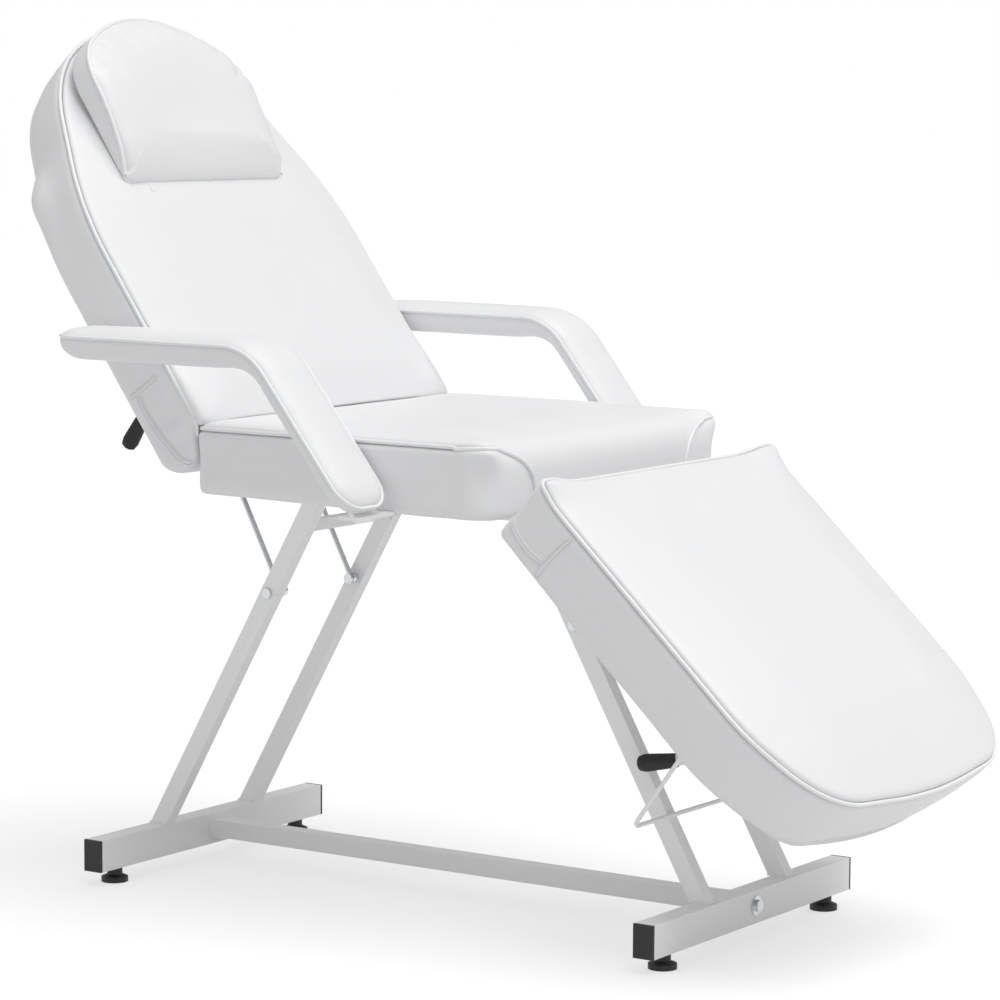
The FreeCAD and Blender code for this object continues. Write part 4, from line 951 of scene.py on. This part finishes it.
band_runs = (418, 430, 442, 461, 493, 519, 547, 618, 690)
band_heights = (1.5, 6, 12.5, 20.5, 28, 33, 36, 38, 38)
nose_insets = (0.4, 0.6, 1.8, 4, 7.5, 11.5, 16, 21, 26, 31.5, 37.5, 44, 51, 160)
nose_heights = (3.2, 5.2, 7.4, 10, 13.2, 16.4, 19.6, 22.9, 26, 29, 31.6, 33.6, 35, 60)
pillow_levels = [(9, 12), (2.5, 5), (0.9, 1.6), (0.4, 0.4), (0.5, 0.6), (0.9, 1.8), (1.6, 4.0), (4.2, 7.5),
                 (3.6, 11.5), (4.0, 15.5), (5.6, 20), (8.4, 24.5), (13, 29), (20, 33.5), (30, 38.5), (44, 44)]


def pillow_outline(shift=0.0):
    """The low corner on the far side is rounder and lies further in than the near one."""
    corners = headed(pillow_low + shift, 613, 187, 282, 677, 12, 90)
    return [(pillow_low + 1.2 + shift, -177, 26)] + corners[1:]


def band_height(point):
    """Height of the pillow's band. It is squashed lower on the side where the pillow is thinner."""
    return (1 - 0.42 * ease(-120, 190, -point.y)) * float(np.interp(point.x, band_runs, band_heights))


def nose_height(inset):
    """Height of the sloping low face, so far in from its seam."""
    return float(np.interp(inset, nose_insets, nose_heights))


def pillow_lift(level, spot, share):
    side_height = band_height(spot)
    if level < 8:
        side = side_height * (0, 0.02, 0.10, 0.30, 0.55, 0.80, 0.95, 1.0)[level]
    else:
        rise = 35.0 + 11.5 * ease(450, 570, spot.x) - 6.0 * ease(0, 190, -spot.y)
        roof = min(rise, nose_height(spot.x - pillow_low))
        angle = (level - 7.4) / 8.0 * math.pi / 2
        side = side_height + max(0.0, roof - side_height) * math.sin(angle) ** 1.1
    front = (0, 0.4, 1.6)[level] if level < 3 else nose_height(pillow_levels[level][1])
    return side * (1 - share) + front * share


pillow_cover, pillow_rings = cover_form("head_pillow_cover", pillow_outline, pillow_levels,
                                        lambda point: 1 - ease(420, 438, point.x), pillow_lift, crown=1.5,
                                        run=60.0, place=pillow_place, spacing=6.5)
held_rings = (-1, 0, 1, 2, 7, 8)
blow_out(pillow_cover, [0.0 if ring in held_rings else min(1.0, 0.25 + ring / 12)
                        for ring in pillow_rings], swell=0.004)
subdivide_once(pillow_cover)
gather(pillow_cover, ((9.0, 0.0008), (30.0, 0.0003)))
hand_over(pillow_cover, "pillow", "head_pillow")
pillow_skin = skin_of(pillow_cover)
pillow_edge, _ = mark_out(trim(pillow_outline(), inset=1.4), spacing=5.0)
pillow_line = [pillow_place((point.x, point.y, band_height(point) + 0.5))
               for point in opened([point for point in pillow_edge if point.x > 424], gap=60)]
sew_welt("head_pillow_welt", lay_on(pillow_skin, pillow_line, proud=0.0012), "pillow", Radius=0.0029)
low_run = sorted((point for point in pillow_edge if point.x < 432), key=lambda point: point.y)
low_line = [pillow_place((point.x, point.y, 2.2)) for point in low_run]
sew_welt("head_pillow_low_seam", lay_on(pillow_skin, low_line, proud=0.0006), "pillow", Radius=0.0015)


# Pull tab: a folded strip of the same vinyl, caught in the pillow's low seam near the sitter's
# right shoulder, to pull the pillow along by.
tab_fold = [(420.5, 2.2), (416, 2.0), (411, 1.7), (406, 1.4), (402, 1.7), (400.6, 2.6), (401.6, 3.6),
            (405, 3.9), (410, 3.8), (415, 3.7), (420.5, 3.9)]
tab_strip = bmesh.new()
near_row, far_row = ([tab_strip.verts.new(pillow_place((along, across, lift))) for along, lift in tab_fold]
                     for across in (133.0, 142.5))
for corners in zip(near_row, near_row[1:], far_row[1:], far_row):
    tab_strip.faces.new(corners)
tab_strip.normal_update()
bmesh.ops.solidify(tab_strip, geom=tab_strip.faces[:], thickness=0.0011)
pull_tab = set_down("pillow_pull_tab", tab_strip, smooth=False)
pull_tab.data.materials.append(white_vinyl)
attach(pull_tab, "pillow")


# Armrests: a bent ply core with thin foam and vinyl over it, welted all round its top panel, and
# screwed to the plate of the steel bracket behind its lower run.
arm_slope = math.radians(51.5)
arm_rear, arm_bend, arm_top, arm_reach = -431.7, -89.7, 792.0, 45.0
arm_middle, arm_half = 356.0, 51.0
arm_level = arm_bend - arm_rear - arm_reach
arm_bend_radius = arm_reach / math.tan(arm_slope / 2)
arm_curve = arm_bend_radius * arm_slope
arm_length = arm_level + arm_curve + 262 - arm_reach


def arm_place(side):
    def put(point):
        along, across, lift = point
        angle = min(max((along - arm_level) / arm_curve, 0.0), 1.0) * arm_slope
        beyond = max(0.0, along - arm_level - arm_curve)
        x = arm_rear + min(along, arm_level) + arm_bend_radius * math.sin(angle) + beyond * math.cos(arm_slope)
        z = arm_top - arm_bend_radius * (1 - math.cos(angle)) - beyond * math.sin(arm_slope)
        return Vector((x + math.sin(angle) * lift, side * arm_middle + across, z + math.cos(angle) * lift)) * mm
    return put


def arm_outline(shift=0.0):
    return mirrored(shift, arm_half, 47, [(arm_length, arm_half, 40)])


def arm_thickness(along):
    """The pad is thinner down its slope, and its underside is pulled up under the rear tip."""
    return 34 - 14 * ease(arm_level - 10, arm_level + arm_curve + 10, along) - 17 * (1 - ease(-5, 58, along))


arm_levels = [(inset, inset) for inset in (12, 4, 1.2, 0.2, 0.0, 0.4, 1.4, 3.6, 3.2, 4.4, 7.4, 11.5, 16.5, 22)]


def arm_lift(level, spot, share):
    deep = arm_thickness(spot.x)
    if level < 8:
        return -deep + (deep - 4.6) * (0, 0.02, 0.14, 0.38, 0.62, 0.84, 0.97, 1.0)[level]
    return (-2.8, -0.9, 1.4, 3.4, 5.0, 6.2)[level - 8]


for side, word in ((1, "left"), (-1, "right")):
    arm_cover, arm_rings = cover_form("armrest_cover_" + word, arm_outline, arm_levels, lambda point: 0.0,
                                      arm_lift, crown=1.4, run=20.0, place=arm_place(side), spacing=6.0)
    blow_out(arm_cover, [0.0 if ring in held_rings else 0.9 for ring in arm_rings], swell=0.0015)
    subdivide_once(arm_cover)
    gather(arm_cover, ((14.0, 0.0005), (45.0, 0.0002)))
    hand_over(arm_cover, "frame", "armrest_pad_" + word)
    arm_edge, _ = mark_out(trim(arm_outline(), inset=0.9), spacing=5.0)
    arm_line = [arm_place(side)((point.x, point.y, -3.4)) for point in arm_edge]
    arm_welt = sew_welt("armrest_welt_" + word, lay_on(skin_of(arm_cover), arm_line, proud=0.0014), "frame",
                        closed=True, Radius=0.0025)
    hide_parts("armrest_piping_" + word)


# Undersides: the vinyl is pulled over each board's edge and shot down with wire staples, and the
# rails are held to the boards with pan-head screws through their lower walls.
def one_staple(bench, inputs):
    length, thick = inputs["Length"], inputs["Thickness"]
    wire = bench.add("GeometryNodeMeshCube", {}, {"Size": (1, 1, 1)})
    parts = [stretched(bench, wire, length, thick, thick)]
    for sign in (-1, 1):
        spot = bench.add("ShaderNodeCombineXYZ", {}, {0: length * (0.46 * sign), 2: thick * -0.5})
        parts.append(stretched(bench, wire, thick, thick, thick * 1.6, spot))
    joined = bench.tree.nodes.new("GeometryNodeJoinGeometry")
    for part in parts:
        bench.tree.links.new(part.socket, joined.inputs[0])
    return Wire(bench, joined.outputs[0])


shoot_staples = make_row_tool("shoot_staples", {"Pitch": 0.026, "Length": 0.010, "Thickness": 0.0009,
                                                "Facing": (0.0, 0.0, -1.0)}, one_staple)


def one_screw(bench, inputs):
    width = inputs["Width"]
    dome = bench.add("GeometryNodeMeshUVSphere", {}, {"Segments": 20, "Rings": 10, "Radius": 0.5})
    head = stretched(bench, dome, width, width, width * 0.55)
    bar = bench.add("GeometryNodeMeshCube", {}, {"Size": (1, 1, 1)})
    lift = bench.add("ShaderNodeCombineXYZ", {}, {2: width * 0.28})
    for long_side, short_side in ((0.62, 0.13), (0.13, 0.62)):
        slot = stretched(bench, bar, width * long_side, width * short_side, width * 0.22, lift)
        head = bench.add("GeometryNodeMeshBoolean", {"operation": "DIFFERENCE"},
                         {"Mesh 1": head, "Mesh 2": slot})
    return head


drive_screws = make_row_tool("drive_screws", {"Pitch": 0.095, "Width": 0.009, "Facing": (0.0, 0.0, -1.0)},
                             one_screw)
staple_inset, staple_lift, rail_underside = 38, -1.1, -25.3
for name, outline, place, rail_run, body in (
        ("seat", seat_outline, seat_place, (-240, 190), "frame"),
        ("backrest", back_outline, lifted(back_place, back_floor), (60, 430), "backrest"),
        ("legrest", rest_outline, rest_place, (60, 420), "legrest")):
    edge, _ = mark_out(trim(outline(), staple_inset), spacing=6.0)
    line = [place((point.x, point.y, staple_lift)) for point in edge]
    facing = {"Facing": (place((0, 0, -1)) - place((0, 0, 0))).normalized()}
    use_tool(name + "_staples", shoot_staples, [line], bright_steel, body, facing, closed=True)
    screws = []
    for side in ("left", "right"):
        low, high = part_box("%s_rail_%s" % (name, side))
        across = (low.y + high.y) / 2 / mm
        if name == "backrest":
            across = -across
        screws.append([place((along, across, rail_underside)) for along in rail_run])
    use_tool(name + "_rail_screws", drive_screws, screws, bright_steel, body, facing)


# Weld beads: steel, run round in one pass where the legs stand on the beams, and powder coated
# over together with the tube.
def leg_foot(name):
    """The rectangle in which a leg meets its beam."""
    points = [vertex.co for vertex in nodes[name].data.vertices]
    floor_level = min(point.z for point in points)
    at_foot = [point for point in points if point.z < floor_level + 0.0004]
    xs, ys = [point.x for point in at_foot], [point.y for point in at_foot]
    return min(xs), max(xs), min(ys), max(ys), floor_level


beads, bead_steps, bead_rise = [], 12, 0.0008
for end in ("head", "foot"):
    for side in ("left", "right"):
        left, right, near, far, level = leg_foot("%s_leg_%s" % (end, side))
        loop = [(left, near), (right, near), (right, far), (left, far)]
        beads.append([Vector((x + (next_x - x) * step / bead_steps, y + (next_y - y) * step / bead_steps,
                              level + bead_rise))
                      for (x, y), (next_x, next_y) in zip(loop, loop[1:] + loop[:1])
                      for step in range(bead_steps)])
use_tool("leg_weld_beads", sweep_welt, beads, white_coat, "frame",
         {"Radius": 0.0017, "Unevenness": 0.0006}, closed=True)
